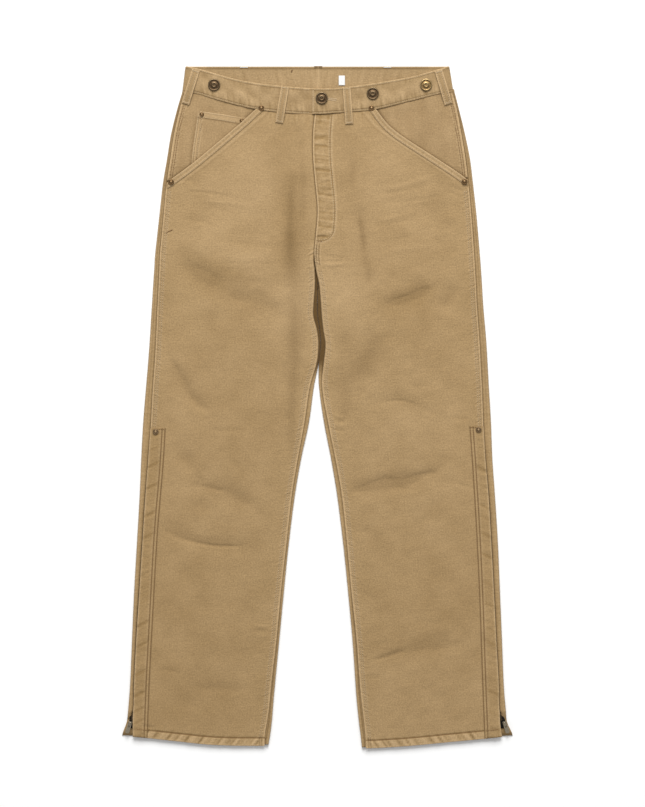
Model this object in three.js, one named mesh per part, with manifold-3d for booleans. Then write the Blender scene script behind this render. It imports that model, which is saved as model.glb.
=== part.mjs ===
// Work pants in duck canvas, laid flat: slant hip pockets, a watch pocket, brace buttons on the
// waistband and zips at the ankles. Millimetres, +X towards the wearer's left side, +Y towards
// the waist, +Z up. The origin is the centre of the footprint on the surface.
import * as THREE from "three";
import { mergeVertices } from "three/addons/utils/BufferGeometryUtils.js";
import Module from "manifold-3d";

// Driving dimensions
const WAIST_Y = 539.2;
const CENTRE_X = 1.2;
const CROTCH_Y = 219;
const CANVAS = 1.4;
const SEAM_GAP = 0.3;
const FACET_GAP = 1.4;
const CENTRE_GAP = 0.5;
const EDGE_HEIGHT = 5.0;
const HIP_HEIGHT = 6.6;
const HIP_FROM_Y = 300;
const HIP_TO_Y = 372;
const LOWEST_TOP = 3.7;
const HIGHEST_TOP = 6.8;
const FOLD_EDGE_HEIGHT = 3.8;
const FLY_LAP = 10;
const FLY_BOTTOM_Y = 240;
const LAP_DROP = 1.9;
const UNDER_GAP = 0.5;
const HEM_DEPTH = 12;
const HEM_LIFT = 0.5;
const BACK_HEM_RISE = 2;
const ZIP_TOP_Y = -40;
const HEM_SLOPE = 4;
const HEM_BEND_FROM = 60;
const HEM_BEND_TO = 260;
const HEM_CORNER_X = 290;
const LOFT_ROUNDNESS = 0.7;
const SEAM_FADE = 12;
const FOLD_OVERRUN = 0.15;
const FOLD_TAPER = 0.3;

// Fly
const LAP_FROM_Y = FLY_BOTTOM_Y - 8;
const LAP_FULL_Y = FLY_BOTTOM_Y + 16;
const LAP_DROP_FROM_Y = CROTCH_Y + 3;
const SEAM_STRIP = 6;
const SEAM_TURN = 1.4;

// Where the backs roll over at the edges, and where the thighs part
const OUT_ROLL_FROM_Y = -497;
const OUT_ROLL_TO_Y = -478;
const IN_ROLL_FROM_Y = CROTCH_Y - 47;
const IN_ROLL_TO_Y = CROTCH_Y - 19;
const GAP_ROLL = { fromY: -20, fullY: 40, lessY: 190, toY: 225 };
const GAP_DIP = { fromY: 20, fullY: 90, lessY: 180, toY: 235, depth: 1.1, reach: 22 };
const ROLL_FLAT = 2;
const ROLL_CLEAR = 0.1;
const IN_SEAM_HEIGHT_SHARE = 0.8;

// Waistband
const BAND_WALL = 2.2;
const BACK_BAND_WALL = 2.0;
const BACK_BAND_Z = 1.5;
const BAND_Z = 5.0;
const BACK_BAND_LOW_Y = 500.5;
const BAND_SIDE_TOP_X = 208.6;
const BAND_SIDE_LOW_X = 214.2;
const BAND_UNDERLAP_X = 24;
const BAND_TAB_X = -8.5;
const UNDERLAP_DROP = 1.2;
const TAB_LIFT = 1.3;
const TAB_LEVEL_FROM_X = 28;
const TAB_LEVEL_TO_X = 41;
const UNDERLAP_FROM_X = 20;
const UNDERLAP_TO_X = 34;
const BAND_FRONT_END_X = 196;
const BAND_BACK_FROM_X = 190;
const BAND_SIDE_SLANT = 0.6;
const BAND_FRONT_COLUMNS = 17;
const BAND_SIDE_COLUMNS = 6;

// Trims
const LOOP_WIDTH = 12.5;
const LOOP_WALL = 1.2;
const LOOP_GAP = 0.5;
const LOOP_BOW = 0.9;
const LOOP_STEP = 5;
const LOOP_INSET = 0.2;
const BUTTON_RADIUS = 9.6;
const RIVET_RADIUS = 4.6;
const SMALL_RIVET_RADIUS = 3.6;
const TRIM_WALL = 1.0;
const POCKET_EDGE_WIDTH = 8.7;
const POCKET_EDGE_TOP_Y = 465;
const POCKET_UNDERLAP = 16;
const POCKET_EDGE_FOOT = 4.5;
const POCKET_EDGE_INSET = 0.2;
const PLACKET_WALL = 1.2;
const PLACKET_LIFT = 0.5;
const PLACKET_PUFF = 0.5;
const PLACKET_BEND_FROM = 20;
const PLACKET_BEND_TO = 220.4;
const FACING_WALL = 1.2;
const FACING_DROP = 3.0;
const FACING_SINK = 0.2;
const FACING_SLOPE = 12;
const FACING_FOOT = 5;
const FACING_INSET = 0.8;
const FACING_LEAST_WIDTH = 10;
const WATCH_WALL = 1.1;
const WATCH_CLEAR = 0.1;
const WATCH_UNDERLAP = 6;
const WATCH_LEAST_WIDTH = 4;
const TAB_WIDTH = 9.8;
const TAB_LENGTH = 15.4;
const TAB_X = 38.6;
const TAB_Y = 516.9;

// Zip
const TAPE_WALL = 0.8;
const TAPE_Z = 1.9;
const TAPE_END_Y = -507;
const TAPE_OUT_X = 297.4;
const TAPE_OVER_SEAM = 1.5;
const TAPE_UNDER_FRONT = 5;
const SLIDER_X = 296.6;
const SLIDER_Y = -500.5;
const SLIDER_TILT = THREE.MathUtils.degToRad(18);
const SLIDER_WIDTH = 6.6;
const SLIDER_LENGTH = 9;
const SLIDER_PLATE = 0.8;
const SLIDER_CORE_WIDTH = 2.4;
const SLIDER_CORE = 1.2;
const SLIDER_Z = TAPE_Z + TAPE_WALL + SEAM_GAP;
const BAIL_WALL = 1.0;
const BAIL_WIDTH = 1.2;
const BAIL_SPAN = 4.6;
const BAIL_CLEAR = 1.6;
const PULL_WALL = 1.0;
const PULL_WINDOW_WIDTH = 3.0;
const PULL_WINDOW_LENGTH = 4.4;
const PULL_TOP_WIDTH = 5.6;
const PULL_END_WIDTH = 7.0;
const PULL_LENGTH = 15;

// Colours
const CANVAS_TAN = 0xaf9269;
const CANVAS_INSIDE = 0xb39570;
const CANVAS_BAND = 0xb99c74;
const CANVAS_SEAM = 0xc0a47e;
const DARK_BRASS = 0x6b5434;
const BRIGHT_BRASS = 0xa98a4e;
const TAPE_BLACK = 0x16140f;
const TAB_WHITE = 0xf5f5f3;

// Outlines of each leg at heights up the garment, as distances from the centre line towards its own side:
// the folded outer edge, the out seam on top, the edge of the front, the in seam and the inner edge.
const RIGHT_LEG = [
  { y: 498, edgeOut: 213.4, seamOut: 210.8, frontOut: 210.4, seamIn: 6.0, edgeIn: -1.2 },
  { y: 470, edgeOut: 221.8, seamOut: 218.6, frontOut: 218.2, seamIn: 4.0, edgeIn: -1.2 },
  { y: 432, edgeOut: 231.3, seamOut: 227.3, frontOut: 226.9, seamIn: 7.0, edgeIn: -1.2 },
  { y: 394, edgeOut: 237.6, seamOut: 233.0, frontOut: 232.6, seamIn: 6.8, edgeIn: -1.2 },
  { y: 356, edgeOut: 244.0, seamOut: 238.8, frontOut: 238.4, seamIn: 3.5, edgeIn: -1.2 },
  { y: 312, edgeOut: 249.0, seamOut: 243.0, frontOut: 242.6, seamIn: -0.2, edgeIn: -1.2 },
  { y: 270, edgeOut: 253.6, seamOut: 246.8, frontOut: 246.4, seamIn: 2.8, edgeIn: -1.2 },
  { y: 242, edgeOut: 256.6, seamOut: 249.5, frontOut: 249.1, seamIn: 5.0, edgeIn: -1.2 },
  { y: 219, edgeOut: 258.0, seamOut: 250.4, frontOut: 250.0, seamIn: 4.2, edgeIn: -1.0 },
  { y: 195, edgeOut: 259.6, seamOut: 251.5, frontOut: 251.1, seamIn: 3.4, edgeIn: -0.4 },
  { y: 167, edgeOut: 261.3, seamOut: 252.9, frontOut: 252.5, seamIn: 5.4, edgeIn: 0.0 },
  { y: 145, edgeOut: 262.7, seamOut: 254.0, frontOut: 253.6, seamIn: 6.0, edgeIn: -0.4 },
  { y: 123, edgeOut: 264.0, seamOut: 254.9, frontOut: 254.5, seamIn: 0.4, edgeIn: -3.4 },
  { y: 100, edgeOut: 265.5, seamOut: 256.0, frontOut: 255.6, seamIn: -2.0, edgeIn: -5.2 },
  { y: 72, edgeOut: 267.6, seamOut: 257.6, frontOut: 257.2, seamIn: 0.6, edgeIn: -2.2 },
  { y: 34, edgeOut: 270.8, seamOut: 260.4, frontOut: 260.0, seamIn: 11.6, edgeIn: 5.4 },
  { y: -23, edgeOut: 275.4, seamOut: 263.8, frontOut: 263.2, seamIn: 20.2, edgeIn: 13.3 },
  { y: -80, edgeOut: 278.5, seamOut: 268.0, frontOut: 266.6, seamIn: 30.6, edgeIn: 25.6 },
  { y: -137, edgeOut: 280.9, seamOut: 272.8, frontOut: 270.4, seamIn: 40.0, edgeIn: 35.4 },
  { y: -212, edgeOut: 285.2, seamOut: 277.8, frontOut: 275.0, seamIn: 48.4, edgeIn: 44.9 },
  { y: -288, edgeOut: 289.6, seamOut: 282.6, frontOut: 279.6, seamIn: 57.0, edgeIn: 52.8 },
  { y: -364, edgeOut: 293.0, seamOut: 287.4, frontOut: 284.6, seamIn: 64.2, edgeIn: 60.7 },
  { y: -440, edgeOut: 296.3, seamOut: 291.3, frontOut: 288.3, seamIn: 73.0, edgeIn: 68.6 },
  { y: -478, edgeOut: 299.3, seamOut: 292.3, frontOut: 289.6, seamIn: 76.6, edgeIn: 71.7 },
  { y: -498, edgeOut: 301.8, seamOut: 300.2, frontOut: 290.2, seamIn: 79.6, edgeIn: 74.0 },
  { y: -518, edgeOut: 308.8, seamOut: 306.8, frontOut: 290.0, seamIn: 83.0, edgeIn: 77.0 },
  { y: -536, edgeOut: 308.8, seamOut: 306.8, frontOut: 290.0, seamIn: 83.6, edgeIn: 77.6 },
];
const LEFT_LEG = [
  { y: 498, edgeOut: 216.4, seamOut: 213.8, frontOut: 213.4, seamIn: -5.0, edgeIn: 1.2 },
  { y: 470, edgeOut: 223.7, seamOut: 221.2, frontOut: 220.8, seamIn: -4.0, edgeIn: 1.2 },
  { y: 432, edgeOut: 233.2, seamOut: 228.4, frontOut: 228.0, seamIn: -7.0, edgeIn: 1.2 },
  { y: 394, edgeOut: 241.1, seamOut: 234.6, frontOut: 234.2, seamIn: -6.8, edgeIn: 1.2 },
  { y: 356, edgeOut: 245.8, seamOut: 239.0, frontOut: 238.6, seamIn: -3.5, edgeIn: 1.2 },
  { y: 312, edgeOut: 250.8, seamOut: 243.2, frontOut: 242.8, seamIn: 0.2, edgeIn: 1.2 },
  { y: 270, edgeOut: 254.6, seamOut: 246.4, frontOut: 246.0, seamIn: -2.8, edgeIn: 1.2 },
  { y: 242, edgeOut: 256.9, seamOut: 248.3, frontOut: 247.9, seamIn: -5.0, edgeIn: 1.2 },
  { y: 219, edgeOut: 258.6, seamOut: 249.7, frontOut: 249.3, seamIn: -2.6, edgeIn: 1.0 },
  { y: 195, edgeOut: 260.2, seamOut: 251.0, frontOut: 250.6, seamIn: 2.4, edgeIn: 0.4 },
  { y: 167, edgeOut: 261.8, seamOut: 252.3, frontOut: 251.9, seamIn: 5.0, edgeIn: 0.0 },
  { y: 145, edgeOut: 263.6, seamOut: 253.8, frontOut: 253.4, seamIn: 6.6, edgeIn: 0.4 },
  { y: 123, edgeOut: 265.6, seamOut: 255.4, frontOut: 255.0, seamIn: 9.0, edgeIn: 3.4 },
  { y: 100, edgeOut: 267.4, seamOut: 257.0, frontOut: 256.6, seamIn: 12.4, edgeIn: 5.2 },
  { y: 72, edgeOut: 269.0, seamOut: 258.5, frontOut: 258.1, seamIn: 10.0, edgeIn: 2.2 },
  { y: 34, edgeOut: 271.1, seamOut: 260.5, frontOut: 260.1, seamIn: 7.2, edgeIn: 2.5 },
  { y: -23, edgeOut: 274.4, seamOut: 262.8, frontOut: 262.2, seamIn: 16.6, edgeIn: 10.4 },
  { y: -80, edgeOut: 276.6, seamOut: 266.2, frontOut: 264.6, seamIn: 28.0, edgeIn: 21.5 },
  { y: -137, edgeOut: 280.6, seamOut: 271.4, frontOut: 269.0, seamIn: 38.2, edgeIn: 31.0 },
  { y: -212, edgeOut: 285.3, seamOut: 275.9, frontOut: 273.4, seamIn: 46.2, edgeIn: 40.4 },
  { y: -288, edgeOut: 288.5, seamOut: 279.9, frontOut: 277.6, seamIn: 53.4, edgeIn: 48.3 },
  { y: -364, edgeOut: 291.7, seamOut: 283.6, frontOut: 281.4, seamIn: 61.4, edgeIn: 56.0 },
  { y: -440, edgeOut: 294.8, seamOut: 287.9, frontOut: 285.6, seamIn: 67.2, edgeIn: 61.8 },
  { y: -478, edgeOut: 298.0, seamOut: 288.8, frontOut: 286.4, seamIn: 71.2, edgeIn: 65.7 },
  { y: -498, edgeOut: 300.3, seamOut: 297.2, frontOut: 287.0, seamIn: 73.6, edgeIn: 68.2 },
  { y: -518, edgeOut: 308.8, seamOut: 306.8, frontOut: 289.6, seamIn: 75.6, edgeIn: 70.2 },
  { y: -540, edgeOut: 308.8, seamOut: 306.8, frontOut: 290.2, seamIn: 76.8, edgeIn: 71.2 },
];

// Hem edges, from the in seam to the outer corner.
const RIGHT_HEM = [
  { x: 70, y: -534.8 },
  { x: 132, y: -534.6 },
  { x: 173, y: -532.8 },
  { x: 214, y: -528.5 },
  { x: 257, y: -523.8 },
  { x: 291, y: -520.4 },
];
const LEFT_HEM = [
  { x: 70, y: -539.2 },
  { x: 104, y: -537.8 },
  { x: 150, y: -534.6 },
  { x: 213, y: -528.5 },
  { x: 263, y: -523.8 },
  { x: 291, y: -520.6 },
];

// The slant pocket edges, from the out seam to the waistband.
const RIGHT_SLANT = [
  { x: 239, y: 353 },
  { x: 230, y: 361 },
  { x: 201, y: 382.4 },
  { x: 163.5, y: 413.3 },
  { x: 126, y: 445.1 },
  { x: 94, y: 474 },
];
const LEFT_SLANT = [
  { x: 239, y: 358 },
  { x: 225, y: 368.9 },
  { x: 182.2, y: 397.2 },
  { x: 134, y: 428.5 },
  { x: 112, y: 446.4 },
  { x: 90, y: 474 },
];

// The waistband's front edges across the whole garment, the wearer's right being negative.
const BAND_TOP = [
  { x: -209, y: 539.2 },
  { x: -184, y: 534.2 },
  { x: -136, y: 520.6 },
  { x: -110, y: 515.0 },
  { x: -75, y: 510.0 },
  { x: -10, y: 504.6 },
  { x: 21, y: 504.4 },
  { x: 39, y: 505.6 },
  { x: 85, y: 511.6 },
  { x: 150, y: 523.0 },
  { x: 182, y: 531.8 },
  { x: 209, y: 539.2 },
];
const BAND_LOW = [
  { x: -215, y: 496.4 },
  { x: -195, y: 496.4 },
  { x: -152, y: 484.3 },
  { x: -110, y: 473.7 },
  { x: -63, y: 466.6 },
  { x: -7, y: 463.4 },
  { x: 56, y: 467.2 },
  { x: 90, y: 470.6 },
  { x: 150, y: 485.0 },
  { x: 195, y: 496.0 },
  { x: 215, y: 498.4 },
];

// The inner stitch line of each ankle placket.
const RIGHT_PLACKET_INNER = [
  { y: -33, x: 239.6 },
  { y: -92, x: 243.2 },
  { y: -198, x: 252.0 },
  { y: -306, x: 258.2 },
  { y: -427, x: 264.6 },
  { y: -524, x: 268.4 },
];
const LEFT_PLACKET_INNER = [
  { y: -30, x: 240.2 },
  { y: -92, x: 244.6 },
  { y: -198, x: 251.0 },
  { y: -306, x: 256.0 },
  { y: -427, x: 260.2 },
  { y: -524, x: 264.0 },
];

// How high the front stands over its edges, at heights up the garment.
const LOFT = [
  { y: 560, rise: 0.0 },
  { y: 470, rise: 0.0 },
  { y: 360, rise: 0.1 },
  { y: 260, rise: 1.3 },
  { y: 120, rise: 1.6 },
  { y: -60, rise: 1.5 },
  { y: -300, rise: 1.4 },
  { y: -480, rise: 0.9 },
  { y: -545, rise: 0.3 },
];

// The largest folds of the fronts, each from one end to the other, bowed to one side at its middle.
const FOLDS = [
  { x0: -43, y0: 359, x1: -34, y1: -4, bow: 9, width: 15, depth: -1.2 },
  { x0: -226, y0: 232, x1: -52, y1: 152, bow: -6, width: 22, depth: -1.4 },
  { x0: -216, y0: 262, x1: -70, y1: 214, bow: 0, width: 26, depth: 0.7 },
  { x0: -233, y0: 67, x1: -182, y1: 1, bow: 0, width: 14, depth: -1.0 },
  { x0: -217, y0: -47, x1: -200, y1: -96, bow: -6, width: 15, depth: -0.9 },
  { x0: -201, y0: -122, x1: -95, y1: -165, bow: 10, width: 15, depth: -1.0 },
  { x0: -241, y0: -193, x1: -106, y1: -219, bow: -8, width: 13, depth: -1.2 },
  { x0: -214, y0: -452, x1: -120, y1: -444, bow: 6, width: 22, depth: -0.6 },
  { x0: 104, y0: 160, x1: 181, y1: 192, bow: -6, width: 15, depth: -1.7 },
  { x0: 196, y0: 150, x1: 216, y1: 196, bow: 0, width: 15, depth: -0.8 },
  { x0: 44, y0: 130, x1: 30, y1: 0, bow: 0, width: 18, depth: -1.1 },
  { x0: 75, y0: 4, x1: 170, y1: -12, bow: 14, width: 13, depth: -0.8 },
  { x0: 55, y0: -132, x1: 186, y1: -105, bow: -3, width: 14, depth: -1.9 },
  { x0: 99, y0: -400, x1: 228, y1: -374, bow: 6, width: 14, depth: -0.9 },
  { x0: 62, y0: 318, x1: 76, y1: 228, bow: 0, width: 14, depth: -0.8 },
];

const BELT_LOOPS = [
  { name: "loop_side_right", topX: -191.8, topY: 533.4, lowX: -208.6, lowY: 479.4 },
  { name: "loop_front_right", topX: -51.0, topY: 507.4, lowX: -60.4, lowY: 449.5 },
  { name: "loop_front_left", topX: 46.0, topY: 506.2, lowX: 50.4, lowY: 447.6 },
  { name: "loop_side_left", topX: 191.0, topY: 532.6, lowX: 207.1, lowY: 479.0 },
];
const BACK_LOOPS = [
  { name: "loop_back_right", x: -116.3 },
  { name: "loop_back_centre", x: 1.2 },
  { name: "loop_back_left", x: 110.8 },
];

const BUTTONS = [
  { name: "button_fly", x: 6.8, y: 488.5, lift: TAB_LIFT, colour: DARK_BRASS },
  { name: "button_brace_right", x: -163.2, y: 509.6, lift: 0, colour: DARK_BRASS },
  { name: "button_brace_left", x: 87.4, y: 496.0, lift: 0, colour: DARK_BRASS },
  { name: "button_brace_side", x: 171.6, y: 509.6, lift: 0, colour: BRIGHT_BRASS },
];

// Spline value of one column of a table at a place on its key column.
function tableAt(table, place, column, key = "y") {
  const rising = table[0][key] < table[table.length - 1][key];
  const rows = rising ? table : [...table].reverse();
  const last = rows.length - 1;
  if (place <= rows[0][key]) return rows[0][column];
  if (place >= rows[last][key]) return rows[last][column];
  const after = rows.findIndex((row) => row[key] > place);
  const [a, b] = [rows[after - 1], rows[after]];
  const before = rows[Math.max(after - 2, 0)];
  const beyond = rows[Math.min(after + 1, last)];
  const span = b[key] - a[key];
  const t = (place - a[key]) / span;
  const slopeA = (b[column] - before[column]) / (b[key] - before[key]);
  const slopeB = (beyond[column] - a[column]) / (beyond[key] - a[key]);
  const t2 = t * t;
  const t3 = t2 * t;
  return (
    (2 * t3 - 3 * t2 + 1) * a[column] +
    (t3 - 2 * t2 + t) * span * slopeA +
    (3 * t2 - 2 * t3) * b[column] +
    (t3 - t2) * span * slopeB
  );
}

const smooth = THREE.MathUtils.smoothstep;
const mix = THREE.MathUtils.lerp;

// One side's outlines, with its own sign along X.
const SIDES = {
  right: {
    sign: -1,
    leg: RIGHT_LEG,
    hem: RIGHT_HEM,
    slant: RIGHT_SLANT,
    placket: RIGHT_PLACKET_INNER,
  },
  left: {
    sign: 1,
    leg: LEFT_LEG,
    hem: LEFT_HEM,
    slant: LEFT_SLANT,
    placket: LEFT_PLACKET_INNER,
  },
};

const legAt = (side, y, column) => tableAt(side.leg, y, column);
const hemAt = (side, distance) => tableAt(side.hem, distance, "y", "x");
const slantAt = (side, y) => (y < side.slant[0].y ? Infinity : tableAt(side.slant, y, "x"));
const bandTopAt = (x) => tableAt(BAND_TOP, x, "y", "x");
const bandLowAt = (x) => tableAt(BAND_LOW, x, "y", "x");

// Height that one fold adds at a point: deepest at its middle line, fading to both ends.
function foldHeight(fold, x, y) {
  const along = new THREE.Vector2(fold.x1 - fold.x0, fold.y1 - fold.y0);
  const length = along.length();
  along.normalize();
  const from = new THREE.Vector2(x - fold.x0, y - fold.y0);
  const t = from.dot(along) / length;
  if (t <= -FOLD_OVERRUN || t >= 1 + FOLD_OVERRUN) return 0;
  const across = from.cross(along);
  const line = -fold.bow * Math.sin(Math.PI * THREE.MathUtils.clamp(t, 0, 1));
  const offset = (across - line) / fold.width;
  const start = smooth(t, -FOLD_OVERRUN, FOLD_TAPER);
  const end = 1 - smooth(t, 1 - FOLD_TAPER, 1 + FOLD_OVERRUN);
  return fold.depth * start * end * Math.exp(-offset * offset);
}

// 1 where a zone up the garment is full, easing to 0 past both of its ends.
function zoneShare(zone, y) {
  return smooth(y, zone.fromY, zone.fullY) * (1 - smooth(y, zone.lessY, zone.toY));
}

// Height of the fronts' upper surface at the seams.
function seamHeight(y) {
  return mix(EDGE_HEIGHT, HIP_HEIGHT, smooth(y, HIP_FROM_Y, HIP_TO_Y));
}

// Height of the fronts' upper surface anywhere on one side.
function topHeight(side, x, y) {
  const distance = x * side.sign;
  const out = legAt(side, y, "seamOut");
  const inner = legAt(side, y, "seamIn");
  const t = THREE.MathUtils.clamp((distance - inner) / (out - inner), 0, 1);
  const rise = tableAt(LOFT, y, "rise") * Math.pow(Math.sin(Math.PI * t), LOFT_ROUNDNESS);
  const nearGap = 1 - smooth(distance, inner, inner + GAP_DIP.reach);
  const fromSeams = Math.min(1, SEAM_FADE * t * (1 - t));
  let z = seamHeight(y) + rise - GAP_DIP.depth * zoneShare(GAP_DIP, y) * nearGap;
  for (const fold of FOLDS) z += foldHeight(fold, x, y) * fromSeams;
  const hemLine = hemAt(side, distance);
  z += HEM_LIFT * (1 - smooth(y, hemLine + HEM_DEPTH, hemLine + HEM_DEPTH + HEM_SLOPE));
  return THREE.MathUtils.clamp(z, LOWEST_TOP, HIGHEST_TOP);
}

// A closed wall between two grids of points: at(i, j) gives its outer and inner point.
function wall(columns, rows, at) {
  const positions = [];
  const outer = [];
  const inner = [];
  for (let j = 0; j < rows; j++) {
    for (let i = 0; i < columns; i++) {
      const pair = at(i, j);
      outer.push(positions.length / 3);
      positions.push(...pair[0]);
      inner.push(positions.length / 3);
      positions.push(...pair[1]);
    }
  }
  const index = [];
  const quad = (a, b, c, d) => index.push(a, b, c, a, c, d);
  const place = (i, j) => j * columns + i;
  for (let j = 0; j < rows - 1; j++) {
    for (let i = 0; i < columns - 1; i++) {
      const corners = [place(i, j), place(i + 1, j), place(i + 1, j + 1), place(i, j + 1)];
      quad(...corners.map((k) => outer[k]));
      quad(...corners.reverse().map((k) => inner[k]));
    }
  }
  const rim = (a, b) => quad(outer[b], outer[a], inner[a], inner[b]);
  for (let i = 0; i < columns - 1; i++) {
    rim(place(i, 0), place(i + 1, 0));
    rim(place(i + 1, rows - 1), place(i, rows - 1));
  }
  for (let j = 0; j < rows - 1; j++) {
    rim(place(columns - 1, j), place(columns - 1, j + 1));
    rim(place(0, j + 1), place(0, j));
  }
  const geometry = new THREE.BufferGeometry();
  geometry.setAttribute("position", new THREE.Float32BufferAttribute(positions, 3));
  geometry.setIndex(index);
  return outwards(geometry);
}

// Turns the faces round where a mirrored side has them facing in.
function outwards(geometry) {
  const p = geometry.getAttribute("position");
  const index = geometry.getIndex().array;
  const [a, b, c] = [new THREE.Vector3(), new THREE.Vector3(), new THREE.Vector3()];
  let volume = 0;
  for (let k = 0; k < index.length; k += 3) {
    a.fromBufferAttribute(p, index[k]);
    b.fromBufferAttribute(p, index[k + 1]);
    c.fromBufferAttribute(p, index[k + 2]);
    volume += a.dot(b.cross(c));
  }
  if (volume < 0) {
    for (let k = 0; k < index.length; k += 3) {
      [index[k + 1], index[k + 2]] = [index[k + 2], index[k + 1]];
    }
  }
  geometry.computeVertexNormals();
  return geometry;
}

const cloth = (color) => new THREE.MeshStandardMaterial({ color, roughness: 0.92, metalness: 0 });
const metal = (color) => new THREE.MeshStandardMaterial({ color, roughness: 0.42, metalness: 1 });

function piece(name, geometry, material) {
  const mesh = new THREE.Mesh(geometry, material);
  mesh.name = name;
  return mesh;
}

// Evenly spaced values from one end to the other.
const steps = (from, to, count) => Array.from({ length: count }, (_, k) => mix(from, to, k / (count - 1)));

// Heights of the rows of a front, from the hem to just under the waistband.
const FRONT_ROWS = [0, HEM_DEPTH, HEM_DEPTH + 5, ...steps(42, 870, 37), ...steps(884, 974, 7)];
const hemBend = (rise) => 1 - smooth(rise, HEM_BEND_FROM, HEM_BEND_TO);
const FRONT_FOOT_Y = -520.4;
const FRONT_COLUMNS = 13;

// A front: hem, out seam, slant pocket edge, waist, fly edge and in seam.
function front(side) {
  const under = side.sign < 0;
  const rows = FRONT_ROWS.length;
  return wall(FRONT_COLUMNS, rows + 1, (i, j) => {
    const rise = FRONT_ROWS[Math.min(j, rows - 1)];
    const base = FRONT_FOOT_Y + rise;
    const outX = Math.min(legAt(side, base, "frontOut"), slantAt(side, base));
    const lap = under ? smooth(base, LAP_FROM_Y, LAP_FULL_Y) : 0;
    const drop = under ? LAP_DROP * smooth(base, LAP_DROP_FROM_Y, FLY_BOTTOM_Y) : 0;
    const seam = legAt(side, base, "seamIn");
    const inX = seam + (under ? UNDER_GAP : 0) - (FLY_LAP + UNDER_GAP) * lap;
    const last = FRONT_COLUMNS - 1;
    let distance = mix(outX, seam + SEAM_STRIP, i / (last - 2));
    if (i === last - 1) distance = seam + SEAM_TURN;
    if (i === last) distance = inX;
    const x = distance * side.sign;
    const footDrop = (hemAt(side, distance) - FRONT_FOOT_Y) * hemBend(rise);
    let y = base + footDrop;
    if (j === rows) y = bandLowAt(x) - SEAM_GAP;
    const dip = i >= last - 1 ? drop : 0;
    const z = topHeight(side, x, y) - dip;
    return [
      [x, y, z],
      [x, y, z - CANVAS],
    ];
  });
}

// Folds one edge of a back over: the cloth's outer and inner points at a step of the roll.
// Steps 0 to 1 go round the edge and 1 to 2 lie on top, towards the seam.
function rolledEdge(edge, seam, turn, height, seamZ, roll, inward) {
  const radius = height / 2;
  const angle = Math.PI * Math.min(turn, 1);
  const centre = edge + inward * radius;
  const spread = Math.max(turn - 1, 0);
  const point = (r, lift) => {
    const x = centre - inward * r * Math.sin(angle);
    const z = radius - r * Math.cos(angle);
    return turn <= 1 ? [x, z] : [mix(centre, seam, spread), mix(z, seamZ - lift, spread)];
  };
  const flat = edge + inward * (radius + ROLL_FLAT) * (1 - turn / 2);
  const outerPoint = point(radius, 0);
  const innerPoint = point(radius - CANVAS, CANVAS);
  return [
    [mix(flat, outerPoint[0], roll), mix(0, outerPoint[1], roll)],
    [mix(flat, innerPoint[0], roll), mix(CANVAS, innerPoint[1], roll)],
  ];
}

const BACK_ROWS = [
  ...steps(0, 52, 5),
  ...steps(82, 630, 18),
  ...steps(660, 756, 5),
  ...steps(790, 1014, 10),
];
const BACK_FOOT_Y = -518.4;
const BACK_TOP_Y = BACK_BAND_LOW_Y - SEAM_GAP;
const ROLL_TURNS = [2, 1, 0.66, 0.33, 0];
const FLAT_COLUMNS = 3;

// A back: it lies on the surface and comes up round both edges to the seams on top.
function back(side) {
  const turns = ROLL_TURNS.length;
  const columns = 2 * turns + FLAT_COLUMNS;
  const rows = BACK_ROWS.length;
  return wall(columns, rows + 1, (i, j) => {
    const rise = BACK_ROWS[Math.min(j, rows - 1)];
    const base = BACK_FOOT_Y + rise;
    const height = seamHeight(base);
    const gapZone = zoneShare(GAP_ROLL, base);
    const outRoll = smooth(base, OUT_ROLL_FROM_Y, OUT_ROLL_TO_Y);
    const inRoll = 1 - smooth(base, IN_ROLL_FROM_Y, IN_ROLL_TO_Y);
    const innerHeight = mix(height, FOLD_EDGE_HEIGHT, gapZone);
    const out = legAt(side, base, "edgeOut");
    const seamOut = legAt(side, base, "seamOut");
    const inner = legAt(side, base, "edgeIn") + CENTRE_GAP / 2;
    const seamClear = mix(SEAM_GAP, FACET_GAP, gapZone);
    const foldedIn = inner + innerHeight / 2 + ROLL_CLEAR;
    const seamIn = Math.max(legAt(side, base, "seamIn") - seamClear, foldedIn);
    const besideSeam = topHeight(side, (seamIn + 1) * side.sign, base);
    const inTopZ = mix(innerHeight, besideSeam, IN_SEAM_HEIGHT_SHARE);
    const outStart = out - height / 2;
    const inStart = inner + innerHeight / 2;
    let pair;
    if (i < turns) {
      pair = rolledEdge(out, Math.min(seamOut, outStart), ROLL_TURNS[i], height, height, outRoll, -1);
    } else if (i >= columns - turns) {
      const turn = ROLL_TURNS[columns - 1 - i];
      pair = rolledEdge(inner, seamIn, turn, innerHeight, inTopZ, inRoll, 1);
    } else {
      const distance = mix(outStart, inStart, (i - turns + 1) / (FLAT_COLUMNS + 1));
      pair = [
        [distance, 0],
        [distance, CANVAS],
      ];
    }
    return pair.map(([distance, z]) => {
      const hemY = hemAt(side, Math.min(distance, HEM_CORNER_X)) + BACK_HEM_RISE;
      const sideTop = bandLowAt(BAND_SIDE_LOW_X * side.sign) - SEAM_GAP;
      const topY = mix(BACK_TOP_Y, sideTop, i < turns ? Math.min(ROLL_TURNS[i], 1) : 0);
      const y = j === rows ? topY : base + (hemY - BACK_FOOT_Y) * hemBend(rise);
      return [distance * side.sign, y, z];
    });
  });
}

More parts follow.
